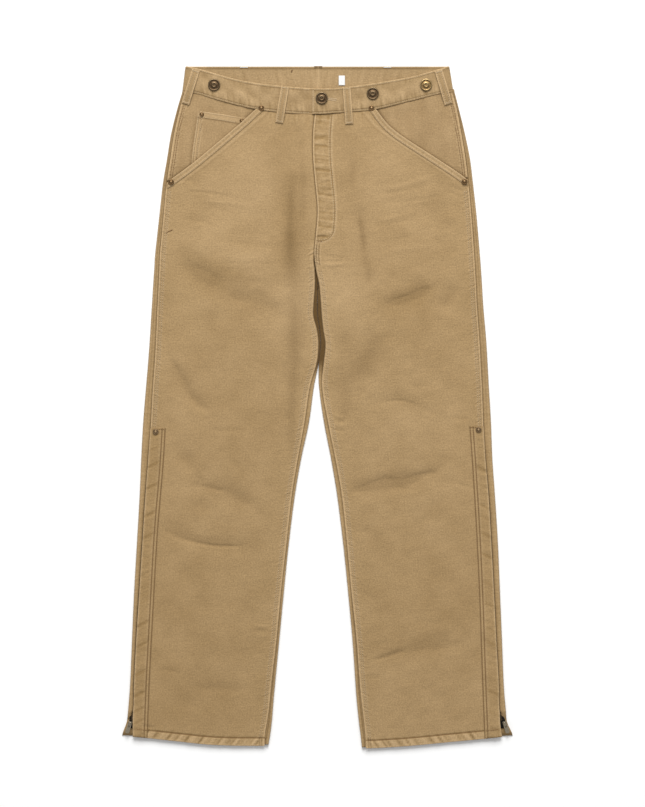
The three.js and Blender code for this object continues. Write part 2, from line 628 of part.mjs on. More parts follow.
// A waistband half: along the front on top, round the side and back along the surface to the centre.
function waistband(side) {
  const endX = side.sign < 0 ? -BAND_UNDERLAP_X : BAND_TAB_X;
  const frontXs = steps(endX, BAND_FRONT_END_X, BAND_FRONT_COLUMNS);
  const arc = steps(0, 1, BAND_SIDE_COLUMNS);
  const backXs = steps(BAND_BACK_FROM_X, CENTRE_X * side.sign + SEAM_GAP / 2, BAND_SIDE_COLUMNS);
  const columns = frontXs.length + arc.length + backXs.length;
  const topZ = BAND_Z + BAND_WALL;
  return wall(columns, 4, (i, j) => {
    const v = j / 3;
    const sideX = mix(BAND_SIDE_LOW_X + BAND_SIDE_SLANT * side.sign, BAND_SIDE_TOP_X, v);
    const place = (distance, low, top, z) => [distance * side.sign, mix(low, top, v), z];
    if (i < frontXs.length) {
      const distance = frontXs[i];
      const x = distance * side.sign;
      let lift = TAB_LIFT * (1 - smooth(distance, TAB_LEVEL_FROM_X, TAB_LEVEL_TO_X));
      if (side.sign < 0) lift = -UNDERLAP_DROP * (1 - smooth(distance, UNDERLAP_FROM_X, UNDERLAP_TO_X));
      const low = bandLowAt(x);
      const top = bandTopAt(x);
      return [place(distance, low, top, topZ + lift), place(distance, low, top, BAND_Z + lift)];
    }
    const sideLow = bandLowAt(BAND_SIDE_LOW_X * side.sign);
    if (i < frontXs.length + arc.length) {
      const t = arc[i - frontXs.length];
      const angle = Math.PI * t;
      const middle = (topZ + BACK_BAND_Z) / 2;
      const radius = topZ - middle;
      const wallNow = mix(BAND_WALL, BACK_BAND_WALL, t);
      const low = mix(sideLow, BACK_BAND_LOW_Y, t);
      const point = (r) =>
        place(sideX - radius + r * Math.sin(angle), low, WAIST_Y, middle + r * Math.cos(angle));
      return [point(radius), point(radius - wallNow)];
    }
    const distance = backXs[i - frontXs.length - arc.length];
    return [
      place(distance, BACK_BAND_LOW_Y, WAIST_Y, BACK_BAND_Z),
      place(distance, BACK_BAND_LOW_Y, WAIST_Y, BACK_BAND_Z + BACK_BAND_WALL),
    ];
  });
}

// Height of the hip facing's upper surface: level with the out seam, sinking under the front's edge.
function facingTop(side, x, y) {
  const out = legAt(side, y, "frontOut");
  const t = (out - x * side.sign) / Math.max(out - slantAt(side, y), FACING_SLOPE);
  return HIP_HEIGHT - FACING_SINK - FACING_DROP * THREE.MathUtils.clamp(t, 0, 1);
}

// Where a column of a hip piece meets the curve that ends it at the top, closed in on from a first guess.
function columnTop(distanceAt, curve) {
  const passes = 8;
  const share = 0.7;
  let y = POCKET_EDGE_TOP_Y + 5;
  for (let pass = 0; pass < passes; pass++) y = mix(y, curve(distanceAt(y)), share);
  return y;
}

// The hip facing behind a slant pocket, from the out seam to under the front.
function hipFacing(side) {
  const rows = 10;
  const columns = 7;
  const foot = side.slant[0].y + FACING_FOOT;
  return wall(columns, rows, (i, j) => {
    const across = i / (columns - 1);
    const distanceAt = (y) => {
      const out = legAt(side, y, "frontOut") - FACING_INSET;
      const under = slantAt(side, y) - POCKET_UNDERLAP;
      return mix(out, Math.min(under, out - FACING_LEAST_WIDTH), across);
    };
    const top = columnTop(distanceAt, (distance) => bandLowAt(distance * side.sign) - SEAM_GAP);
    const y = mix(foot, top, j / (rows - 1));
    const x = distanceAt(y) * side.sign;
    const z = facingTop(side, x, y);
    return [
      [x, y, z],
      [x, y, z - FACING_WALL],
    ];
  });
}

const WATCH_TOP = [
  { x: 118, y: 458 },
  { x: 148, y: 463 },
  { x: 188, y: 468.8 },
];
const WATCH_LEFT = [
  { y: 383, x: 199.2 },
  { y: 410, x: 196.7 },
  { y: 440, x: 192.3 },
  { y: 470, x: 188.4 },
];
const WATCH_FOOT_Y = 393;

// The watch pocket on the wearer's right facing, running in under the front.
function watchPocket() {
  const side = SIDES.right;
  const rows = 7;
  const columns = 7;
  return wall(columns, rows, (i, j) => {
    const across = i / (columns - 1);
    const distanceAt = (y) => {
      const out = tableAt(WATCH_LEFT, y, "x");
      return mix(out, Math.min(slantAt(side, y) - WATCH_UNDERLAP, out - WATCH_LEAST_WIDTH), across);
    };
    const top = columnTop(distanceAt, (distance) => tableAt(WATCH_TOP, distance, "y", "x"));
    const y = mix(WATCH_FOOT_Y, top, j / (rows - 1));
    const x = distanceAt(y) * side.sign;
    const z = facingTop(side, x, y) + SEAM_GAP + WATCH_CLEAR;
    return [
      [x, y, z + WATCH_WALL],
      [x, y, z],
    ];
  });
}

// The turned strip along a slant pocket's edge, lying on the front.
function pocketEdge(side) {
  const rows = 11;
  const columns = 3;
  const [foot, head] = [side.slant[0].y + POCKET_EDGE_FOOT, POCKET_EDGE_TOP_Y];
  return wall(columns, rows, (i, j) => {
    const y = mix(foot, head, j / (rows - 1));
    const step = POCKET_EDGE_INSET + POCKET_EDGE_WIDTH * (i / (columns - 1));
    const reach = 4;
    const slope = (slantAt(side, y + reach) - slantAt(side, y - reach)) / (2 * reach);
    const normal = new THREE.Vector2(-1, slope).normalize();
    const distance = slantAt(side, y) + normal.x * step;
    const yAt = Math.min(y + normal.y * step, bandLowAt(distance * side.sign) - SEAM_GAP);
    const z = topHeight(side, distance * side.sign, yAt) + SEAM_GAP;
    return [
      [distance * side.sign, yAt, z + TRIM_WALL],
      [distance * side.sign, yAt, z],
    ];
  });
}

// The placket over an ankle zip, lying on the front from its edge to the stitch line.
function placket(side) {
  const rows = 21;
  const columns = 4;
  const head = side.placket[0].y;
  return wall(columns, rows, (i, j) => {
    const base = mix(FRONT_FOOT_Y, head, j / (rows - 1));
    const outX = legAt(side, base, "frontOut");
    const distance = mix(outX, tableAt(side.placket, base, "x"), i / (columns - 1));
    const bend = 1 - smooth(base, FRONT_FOOT_Y + PLACKET_BEND_FROM, FRONT_FOOT_Y + PLACKET_BEND_TO);
    const footDrop = (hemAt(side, distance) - FRONT_FOOT_Y) * bend;
    const y = base + footDrop;
    const x = distance * side.sign;
    const puff = PLACKET_PUFF * Math.sin((Math.PI * i) / (columns - 1));
    const z = topHeight(side, x, y) + PLACKET_LIFT;
    return [
      [x, y, z + PLACKET_WALL + puff],
      [x, y, z],
    ];
  });
}

// The zip's tape under the groove between the back's edge and the front.
function zipTape(side) {
  const rows = 20;
  return wall(3, rows, (i, j) => {
    const y = mix(TAPE_END_Y, ZIP_TOP_Y, j / (rows - 1));
    const out = Math.min(legAt(side, y, "seamOut") + TAPE_OVER_SEAM, TAPE_OUT_X);
    const x = mix(out, legAt(side, y, "frontOut") - TAPE_UNDER_FRONT, i / 2) * side.sign;
    return [
      [x, y, TAPE_Z + TAPE_WALL],
      [x, y, TAPE_Z],
    ];
  });
}

// Height of what a belt loop lies on, down the front of the waistband and over its lower edge.
function loopBed(side, x, y) {
  const low = bandLowAt(x);
  const onBand = BAND_Z + BAND_WALL;
  return mix(topHeight(side, x, y), onBand, smooth(y, low - 7, low - 1));
}

// A belt loop over the front of the waistband.
function frontLoop(row) {
  const side = row.topX < 0 ? SIDES.right : SIDES.left;
  const rows = 10;
  const across = new THREE.Vector2(row.topY - row.lowY, row.lowX - row.topX).normalize();
  return wall(3, rows, (i, j) => {
    const t = j / (rows - 1);
    const offset = (LOOP_WIDTH / 2) * (i - 1);
    const x = mix(row.lowX, row.topX, t) + across.x * offset;
    const y = mix(row.lowY, row.topY, t) + across.y * offset;
    const bow = LOOP_BOW * Math.sin(Math.PI * t);
    const z = Math.max(loopBed(side, x, y), loopBed(side, x, y + LOOP_STEP)) + LOOP_GAP + bow;
    return [
      [x, y, z + LOOP_WALL],
      [x, y, z],
    ];
  });
}

// A belt loop under the back of the waistband, flat on the surface.
function backLoop(row) {
  return wall(2, 2, (i, j) => {
    const x = row.x + (LOOP_WIDTH / 2) * (2 * i - 1);
    const y = mix(BACK_BAND_LOW_Y + SEAM_GAP, WAIST_Y - LOOP_INSET, j);
    return [
      [x, y, LOOP_WALL],
      [x, y, 0],
    ];
  });
}

// A shank button: stem, rim and domed cap.
function button(radius) {
  const profile = [
    [0, 0],
    [0.32, 0],
    [0.32, 0.9],
    [0.94, 1.0],
    [1.0, 1.6],
    [1.0, 2.5],
    [0.9, 2.9],
    [0.76, 2.5],
    [0.45, 2.9],
    [0, 3.1],
  ].map(([r, z]) => new THREE.Vector2(r * radius, z));
  return lathe(profile, 18);
}

// A rivet: a flat-edged cap with a raised middle.
function rivet(radius) {
  const profile = [
    [0, 0],
    [1, 0],
    [1, 0.6],
    [0.55, 1.1],
    [0.3, 1.5],
    [0, 1.6],
  ].map(([r, z]) => new THREE.Vector2(r * radius, z));
  return lathe(profile, 12);
}

// A turned solid about Z from a profile whose ends are on the axis.
function lathe(profile, segments) {
  const geometry = new THREE.LatheGeometry(profile, segments);
  geometry.rotateX(Math.PI / 2);
  return geometry;
}

// The closed solid of a geometry, with its shared points merged.
function solidOf(geometry) {
  const bare = new THREE.BufferGeometry();
  bare.setAttribute("position", geometry.getAttribute("position"));
  if (geometry.index) bare.setIndex(geometry.index);
  const merged = mergeVertices(bare, 1e-4);
  return new wasm.Manifold(
    new wasm.Mesh({
      numProp: 3,
      vertProperties: merged.getAttribute("position").array,
      triVerts: new Uint32Array(merged.index.array),
    }),
  );
}

// Joins two closed geometries that run into each other.
function joined(first, second) {
  const mesh = solidOf(first).add(solidOf(second)).getMesh();
  const geometry = new THREE.BufferGeometry();
  geometry.setAttribute("position", new THREE.BufferAttribute(mesh.vertProperties, 3));
  geometry.setIndex(new THREE.BufferAttribute(mesh.triVerts, 1));
  geometry.computeVertexNormals();
  return geometry;
}

const BAIL_BASE = 2 * SLIDER_PLATE + SLIDER_CORE;

// A zip slider: two plates on a core, with the bail that holds the pull. Its origin is under its middle.
function slider() {
  const half = SLIDER_WIDTH / 2;
  const core = SLIDER_CORE_WIDTH / 2;
  const upper = SLIDER_PLATE + SLIDER_CORE;
  const section = new THREE.Shape([
    new THREE.Vector2(-half, 0),
    new THREE.Vector2(half, 0),
    new THREE.Vector2(half, SLIDER_PLATE),
    new THREE.Vector2(core, SLIDER_PLATE),
    new THREE.Vector2(core, upper),
    new THREE.Vector2(half, upper),
    new THREE.Vector2(half * 0.9, BAIL_BASE),
    new THREE.Vector2(-half * 0.9, BAIL_BASE),
    new THREE.Vector2(-half, upper),
    new THREE.Vector2(-core, upper),
    new THREE.Vector2(-core, SLIDER_PLATE),
    new THREE.Vector2(-half, SLIDER_PLATE),
  ]);
  const body = new THREE.ExtrudeGeometry(section, { depth: SLIDER_LENGTH, bevelEnabled: false });
  body.rotateX(Math.PI / 2);
  body.translate(0, SLIDER_LENGTH / 2, 0);

  const reach = BAIL_SPAN / 2 + BAIL_WALL;
  const foot = -SLIDER_PLATE / 2;
  const top = BAIL_CLEAR + BAIL_WALL;
  const arch = new THREE.Shape([
    new THREE.Vector2(-reach, foot),
    new THREE.Vector2(reach, foot),
    new THREE.Vector2(reach, top - 0.5),
    new THREE.Vector2(reach - 0.5, top),
    new THREE.Vector2(-reach + 0.5, top),
    new THREE.Vector2(-reach, top - 0.5),
  ]);
  const clear = BAIL_SPAN / 2;
  arch.holes.push(
    new THREE.Path([
      new THREE.Vector2(-clear, 0),
      new THREE.Vector2(-clear, BAIL_CLEAR),
      new THREE.Vector2(clear, BAIL_CLEAR),
      new THREE.Vector2(clear, 0),
    ]),
  );
  const bail = new THREE.ExtrudeGeometry(arch, { depth: BAIL_WIDTH, bevelEnabled: false });
  bail.rotateX(Math.PI / 2);
  bail.rotateZ(Math.PI / 2);
  bail.translate(-BAIL_WIDTH / 2, 0, BAIL_BASE);
  return joined(body, bail);
}

// A zip's pull: a tapering tag with a window round the bail. Its origin is the middle of its bar.
function pull() {
  const bar = PULL_WALL / 2;
  const topHalf = PULL_TOP_WIDTH / 2;
  const endHalf = PULL_END_WIDTH / 2;
  const outline = new THREE.Shape();
  outline.moveTo(-topHalf, bar);
  outline.lineTo(-endHalf, -PULL_LENGTH + endHalf);
  outline.absarc(0, -PULL_LENGTH + endHalf, endHalf, Math.PI, 2 * Math.PI, false);
  outline.lineTo(topHalf, bar);
  const windowHalf = PULL_WINDOW_WIDTH / 2;
  const windowEnd = -bar - PULL_WINDOW_LENGTH;
  outline.holes.push(
    new THREE.Path([
      new THREE.Vector2(-windowHalf, -bar),
      new THREE.Vector2(windowHalf, -bar),
      new THREE.Vector2(windowHalf, windowEnd),
      new THREE.Vector2(-windowHalf, windowEnd),
    ]),
  );
  const geometry = new THREE.ExtrudeGeometry(outline, {
    depth: PULL_WALL,
    bevelEnabled: false,
    curveSegments: 10,
  });
  geometry.translate(0, 0, -PULL_WALL / 2);
  return geometry;
}

// One ankle zip's slider and pull, turned outwards as they lie.
function zipEnd(name, side) {
  const group = new THREE.Group();
  group.position.set(SLIDER_X * side.sign, SLIDER_Y, SLIDER_Z);
  group.rotation.z = SLIDER_TILT * side.sign;
  group.add(piece("zip_slider_" + name, slider(), metal(DARK_BRASS)));
  const tag = piece("zip_pull_" + name, pull(), metal(DARK_BRASS));
  tag.position.set(0, 0, BAIL_BASE + BAIL_CLEAR / 2);
  group.add(tag);
  return group;
}

// The blank tab sewn to the inside of the back waistband.
function sizeTab() {
  const geometry = new THREE.BoxGeometry(TAB_WIDTH, TAB_LENGTH, TRIM_WALL, 2, 2, 1);
  geometry.translate(TAB_X, TAB_Y, BACK_BAND_Z + BACK_BAND_WALL + SEAM_GAP + TRIM_WALL / 2);
  return geometry;
}

// Height of a rivet's underside: just over what it is set in.
function rivetSeat(row) {
  const side = row.x < 0 ? SIDES.right : SIDES.left;
  if (row.on === "waistband") return BAND_Z + BAND_WALL + SEAM_GAP;
  if (row.on === "pocket edge") return HIP_HEIGHT + TRIM_WALL + 2 * SEAM_GAP + 0.1;
  if (row.on === "watch pocket") return facingTop(side, row.x, row.y) + WATCH_WALL + 3 * SEAM_GAP;
  return topHeight(side, row.x, row.y) + PLACKET_WALL + 4 * SEAM_GAP;
}

const RIVETS = [
  { name: "rivet_pocket_top_right", x: -88.6, y: 473.0, radius: RIVET_RADIUS, on: "waistband" },
  { name: "rivet_pocket_end_right", x: -231.0, y: 356.2, radius: RIVET_RADIUS, on: "pocket edge" },
  { name: "rivet_pocket_top_left", x: 85.4, y: 473.0, radius: RIVET_RADIUS, on: "waistband" },
  { name: "rivet_pocket_end_left", x: 232.4, y: 356.8, radius: RIVET_RADIUS, on: "pocket edge" },
  { name: "rivet_watch", x: -182.6, y: 463.0, radius: SMALL_RIVET_RADIUS, on: "watch pocket" },
  { name: "rivet_placket_right", x: -255.6, y: -38.4, radius: RIVET_RADIUS, on: "placket" },
  { name: "rivet_placket_left", x: 254.6, y: -35.4, radius: RIVET_RADIUS, on: "placket" },
];

const wasm = await Module();
wasm.setup();

function garment() {
  const group = new THREE.Group();
  for (const [name, side] of Object.entries(SIDES)) {
    group.add(piece("front_" + name, front(side), cloth(CANVAS_TAN)));
    group.add(piece("back_" + name, back(side), cloth(CANVAS_TAN)));
    group.add(piece("waistband_" + name, waistband(side), cloth(CANVAS_BAND)));
    group.add(piece("hip_facing_" + name, hipFacing(side), cloth(CANVAS_INSIDE)));
    group.add(piece("pocket_edge_" + name, pocketEdge(side), cloth(CANVAS_SEAM)));
    group.add(piece("ankle_placket_" + name, placket(side), cloth(CANVAS_TAN)));
    group.add(piece("zip_tape_" + name, zipTape(side), cloth(TAPE_BLACK)));
    group.add(zipEnd(name, side));
  }
  group.add(piece("watch_pocket", watchPocket(), cloth(CANVAS_TAN)));
  for (const row of BELT_LOOPS) group.add(piece(row.name, frontLoop(row), cloth(CANVAS_SEAM)));
  for (const row of BACK_LOOPS) group.add(piece(row.name, backLoop(row), cloth(CANVAS_SEAM)));
  for (const row of BUTTONS) {
    const mesh = piece(row.name, button(BUTTON_RADIUS), metal(row.colour));
    mesh.position.set(row.x, row.y, BAND_Z + BAND_WALL + row.lift + SEAM_GAP);
    group.add(mesh);
  }
  for (const row of RIVETS) {
    const mesh = piece(row.name, rivet(row.radius), metal(DARK_BRASS));
    mesh.position.set(row.x, row.y, rivetSeat(row));
    group.add(mesh);
  }
  group.add(piece("size_tab", sizeTab(), cloth(TAB_WHITE)));
  return group;
}

export default garment();
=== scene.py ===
"""Work pants in washed duck canvas, laid flat: the cloth, sewing and metal of each piece.

Tables and sizes are in millimetres: +X is the wearer's left side, +Y the waist, +Z up out of the fronts.
"""

import math
from collections import namedtuple
from functools import partial

import bpy
import numpy as np
from bpy.props import FloatProperty, FloatVectorProperty, PointerProperty
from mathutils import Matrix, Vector


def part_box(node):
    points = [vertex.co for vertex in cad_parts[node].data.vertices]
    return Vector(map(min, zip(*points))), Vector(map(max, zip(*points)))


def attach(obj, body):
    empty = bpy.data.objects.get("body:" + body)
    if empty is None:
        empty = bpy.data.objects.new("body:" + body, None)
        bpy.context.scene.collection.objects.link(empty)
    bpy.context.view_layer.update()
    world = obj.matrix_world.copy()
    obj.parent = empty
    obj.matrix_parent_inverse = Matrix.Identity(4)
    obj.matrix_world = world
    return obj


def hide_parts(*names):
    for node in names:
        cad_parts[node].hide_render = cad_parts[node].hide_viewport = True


bl_info = {
    "name": "Work Pants",
    "version": (1, 0, 0),
    "blender": (4, 5, 0),
    "location": "3D View > Sidebar > Work Pants",
    "description": "Duck canvas work pants, laid flat",
    "category": "Mesh",
}

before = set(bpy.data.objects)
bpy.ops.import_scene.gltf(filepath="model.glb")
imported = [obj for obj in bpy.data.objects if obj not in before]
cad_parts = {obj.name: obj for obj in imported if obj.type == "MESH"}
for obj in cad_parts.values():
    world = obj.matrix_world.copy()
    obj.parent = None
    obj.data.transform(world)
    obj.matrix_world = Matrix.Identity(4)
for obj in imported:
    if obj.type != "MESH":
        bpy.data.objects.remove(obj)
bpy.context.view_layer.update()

MM = 0.001

# Driving sizes
WAIST_Y = 539.2
CENTRE_X = 1.2
CROTCH_Y = 219.0
CANVAS = 1.4
CENTRE_GAP = 0.05
EDGE_HEIGHT = 5.0
HIP_HEIGHT = 6.6
HIP_FROM_Y = 300.0
HIP_TO_Y = 372.0
LOWEST_TOP = 3.5
HIGHEST_TOP = 8.4
FOLD_EDGE_HEIGHT = 3.8
FLY_LAP = 10.0
FLY_BOTTOM_Y = 240.0
LAP_DROP = 1.9
HEM_DEPTH = 12.0
HEM_LIFT = 0.5
ZIP_TOP_Y = -40.0
FOOT_Y = -520.4
SEAM_UNDERLAP = 7.0
FELL_WIDTH = 9.4
STITCH_IN = 4.6
STITCH_FAR = 7.8
CROTCH_WIDTH = 6.4

# Waistband sizes
BAND_WALL = 2.2
BAND_HEIGHT = 38.0
BACK_BAND_WALL = 2.0
BACK_BAND_Z = 1.5
BAND_Z = 5.0
BACK_BAND_LOW_Y = 500.5
BAND_SIDE_TOP_X = 208.6
BAND_SIDE_LOW_X = 214.2
BAND_UNDERLAP_X = 24.0
BAND_TAB_X = -8.5
UNDERLAP_DROP = 1.2
TAB_LIFT = 1.3

# Trim sizes
LOOP_WIDTH = 12.5
LOOP_WALL = 1.2
LOOP_GAP = 0.3
TRIM_WALL = 1.0
POCKET_EDGE_WIDTH = 9.6
POCKET_UNDERLAP = 16.0
PLACKET_WALL = 1.2
FACING_WALL = 1.2
FACING_DROP = 3.0
WATCH_WALL = 1.1
FLY_STITCH = 28.6
FLY_STITCH_FOOT_Y = 262.0
FLY_TURN = 20.0

# Zip sizes
TAPE_WALL = 0.8
TAPE_Z = 1.9
TAPE_END_Y = -507.0
TAPE_OUT_X = 297.4
TOOTH_PITCH = 2.3
SLIDER_X = 296.6
SLIDER_Y = -500.5

# Stitch lines, in from the edge that each follows
SEAM_LINES = (STITCH_IN, STITCH_FAR)
CROTCH_LINES = (1.5, 4.8)
BAND_LINE = 2.4
LOOP_LINE = 3.1
EDGE_LINES = (1.8, POCKET_EDGE_WIDTH - 1.6)
PLACKET_LINES = (1.2, 5.6)
WATCH_HEM_LINES = (1.6, 9.2)
WATCH_SIDE_LINES = (1.5, 7.2)

FALL_SHARE = 0.92
FOLD_GAIN = 1.55
INNER_EVERY = 4


def table(names, *rows):
    """A short table as named columns, in rising order of its first column."""
    values = np.array(sorted(rows), float)
    return {name: values[:, k] for k, name in enumerate(names.split())}


def named_rows(kind, *rows):
    """Rows of one kind from their plain values."""
    return tuple(kind(*row) for row in rows)


LEG = "y edge_out seam_out front_out seam_in edge_in"
RIGHT_LEG = table(
    LEG,
    (498, 213.4, 210.8, 210.4, 6.0, -1.2),
    (470, 221.8, 218.6, 218.2, 4.0, -1.2),
    (432, 231.3, 227.3, 226.9, 7.0, -1.2),
    (394, 237.6, 233.0, 232.6, 6.8, -1.2),
    (356, 244.0, 238.8, 238.4, 3.5, -1.2),
    (312, 249.0, 243.0, 242.6, -0.2, -1.2),
    (270, 253.6, 246.8, 246.4, 2.8, -1.2),
    (242, 256.6, 249.5, 249.1, 5.0, -1.2),
    (219, 258.0, 250.4, 250.0, 4.2, -1.0),
    (195, 259.6, 251.5, 251.1, 3.4, -0.4),
    (167, 261.3, 252.9, 252.5, 5.4, 0.0),
    (145, 262.7, 254.0, 253.6, 6.0, -0.4),
    (123, 264.0, 254.9, 254.5, 0.4, -3.4),
    (100, 265.5, 256.0, 255.6, -2.0, -5.2),
    (72, 267.6, 257.6, 257.2, 0.6, -2.2),
    (34, 270.8, 260.4, 260.0, 11.6, 5.4),
    (-23, 275.4, 263.8, 263.2, 20.2, 13.3),
    (-80, 278.5, 268.0, 266.6, 30.6, 25.6),
    (-137, 280.9, 272.8, 270.4, 40.0, 35.4),
    (-212, 285.2, 277.8, 275.0, 48.4, 44.9),
    (-288, 289.6, 282.6, 279.6, 57.0, 52.8),
    (-364, 293.0, 287.4, 284.6, 64.2, 60.7),
    (-440, 296.3, 291.3, 288.3, 73.0, 68.6),
    (-478, 299.3, 292.3, 289.6, 76.6, 71.7),
    (-498, 301.8, 300.2, 290.2, 79.6, 74.0),
    (-518, 308.8, 306.8, 290.0, 83.0, 77.0),
    (-536, 308.8, 306.8, 290.0, 83.6, 77.6),
)
LEFT_LEG = table(
    LEG,
    (498, 216.4, 213.8, 213.4, -5.0, 1.2),
    (470, 223.7, 221.2, 220.8, -4.0, 1.2),
    (432, 233.2, 228.4, 228.0, -7.0, 1.2),
    (394, 241.1, 234.6, 234.2, -6.8, 1.2),
    (356, 245.8, 239.0, 238.6, -3.5, 1.2),
    (312, 250.8, 243.2, 242.8, 0.2, 1.2),
    (270, 254.6, 246.4, 246.0, -2.8, 1.2),
    (242, 256.9, 248.3, 247.9, -5.0, 1.2),
    (219, 258.6, 249.7, 249.3, -2.6, 1.0),
    (195, 260.2, 251.0, 250.6, 2.4, 0.4),
    (167, 261.8, 252.3, 251.9, 5.0, 0.0),
    (145, 263.6, 253.8, 253.4, 6.6, 0.4),
    (123, 265.6, 255.4, 255.0, 9.0, 3.4),
    (100, 267.4, 257.0, 256.6, 12.4, 5.2),
    (72, 269.0, 258.5, 258.1, 10.0, 2.2),
    (34, 271.1, 260.5, 260.1, 7.2, 2.5),
    (-23, 274.4, 262.8, 262.2, 16.6, 10.4),
    (-80, 276.6, 266.2, 264.6, 28.0, 21.5),
    (-137, 280.6, 271.4, 269.0, 38.2, 31.0),
    (-212, 285.3, 275.9, 273.4, 46.2, 40.4),
    (-288, 288.5, 279.9, 277.6, 53.4, 48.3),
    (-364, 291.7, 283.6, 281.4, 61.4, 56.0),
    (-440, 294.8, 287.9, 285.6, 67.2, 61.8),
    (-478, 298.0, 288.8, 286.4, 71.2, 65.7),
    (-498, 300.3, 297.2, 287.0, 73.6, 68.2),
    (-518, 308.8, 306.8, 289.6, 75.6, 70.2),
    (-540, 308.8, 306.8, 290.2, 76.8, 71.2),
)

# Hem edges from the in seam to the outer corner, and slant pocket edges up from the out seam.
RIGHT_HEM = table(
    "x y", (70, -534.8), (132, -534.6), (173, -532.8), (214, -528.5), (257, -523.8), (291, -520.4)
)
LEFT_HEM = table(
    "x y", (70, -539.2), (104, -537.8), (150, -534.6), (213, -528.5), (263, -523.8), (291, -520.6)
)
RIGHT_SLANT = table(
    "y x", (353, 239), (361, 230), (382.4, 201), (413.3, 163.5), (445.1, 126), (474, 94)
)
LEFT_SLANT = table(
    "y x", (358, 239), (368.9, 225), (397.2, 182.2), (428.5, 134), (446.4, 112), (474, 90)
)
RIGHT_PLACKET = table(
    "y x", (-33, 239.6), (-92, 243.2), (-198, 252.0), (-306, 258.2), (-427, 264.6), (-524, 268.4)
)
LEFT_PLACKET = table(
    "y x", (-30, 240.2), (-92, 244.6), (-198, 251.0), (-306, 256.0), (-427, 260.2), (-524, 264.0)
)

# The waistband's front edges across the garment, the wearer's right being negative.
BAND_TOP = table(
    "x y",
    (-209, 539.2), (-184, 534.2), (-136, 520.6), (-110, 515.0), (-75, 510.0), (-10, 504.6),
    (21, 504.4), (39, 505.6), (85, 511.6), (150, 523.0), (182, 531.8), (209, 539.2),
)
BAND_LOW = table(
    "x y",
    (-215, 496.4), (-195, 496.4), (-152, 484.3), (-110, 473.7), (-63, 466.6), (-7, 463.4),
    (56, 467.2), (90, 470.6), (150, 485.0), (195, 496.0), (215, 498.4),
)
WATCH_TOP = table("x y", (118, 458), (148, 463), (188, 468.8))
WATCH_LEFT = table("y x", (383, 199.2), (410, 196.7), (440, 192.3), (470, 188.4))
WATCH_FOOT_Y = 382.0

# How high the fronts stand over their edges.
LOFT = table(
    "y rise",
    (560, 0.0), (470, 0.0), (360, 0.1), (260, 1.3), (120, 1.6),
    (-60, 1.5), (-300, 1.4), (-480, 0.9), (-545, 0.3),
)

# Folds of the fronts, from one end to the other, bowed to one side at the middle.
Fold = namedtuple("Fold", "x0 y0 x1 y1 bow width depth")
LARGE_FOLDS = named_rows(
    Fold,
    (-43, 359, -34, -4, 9, 15, -1.2), (-226, 232, -52, 152, -6, 22, -1.4),
    (-216, 262, -70, 214, 0, 26, 0.7), (-233, 67, -182, 1, 0, 14, -1.0),
    (-217, -47, -200, -96, -6, 15, -0.9), (-201, -122, -95, -165, 10, 15, -1.0),
    (-241, -193, -106, -219, -8, 13, -1.2), (-214, -452, -120, -444, 6, 22, -0.6),
    (104, 160, 181, 192, -6, 15, -1.7), (196, 150, 216, 196, 0, 15, -0.8),
    (44, 130, 30, 0, 0, 18, -1.1), (75, 4, 170, -12, 14, 13, -0.8),
    (55, -132, 186, -105, -3, 14, -1.9), (99, -400, 228, -374, 6, 14, -0.9),
    (62, 318, 76, 228, 0, 14, -0.8),
)
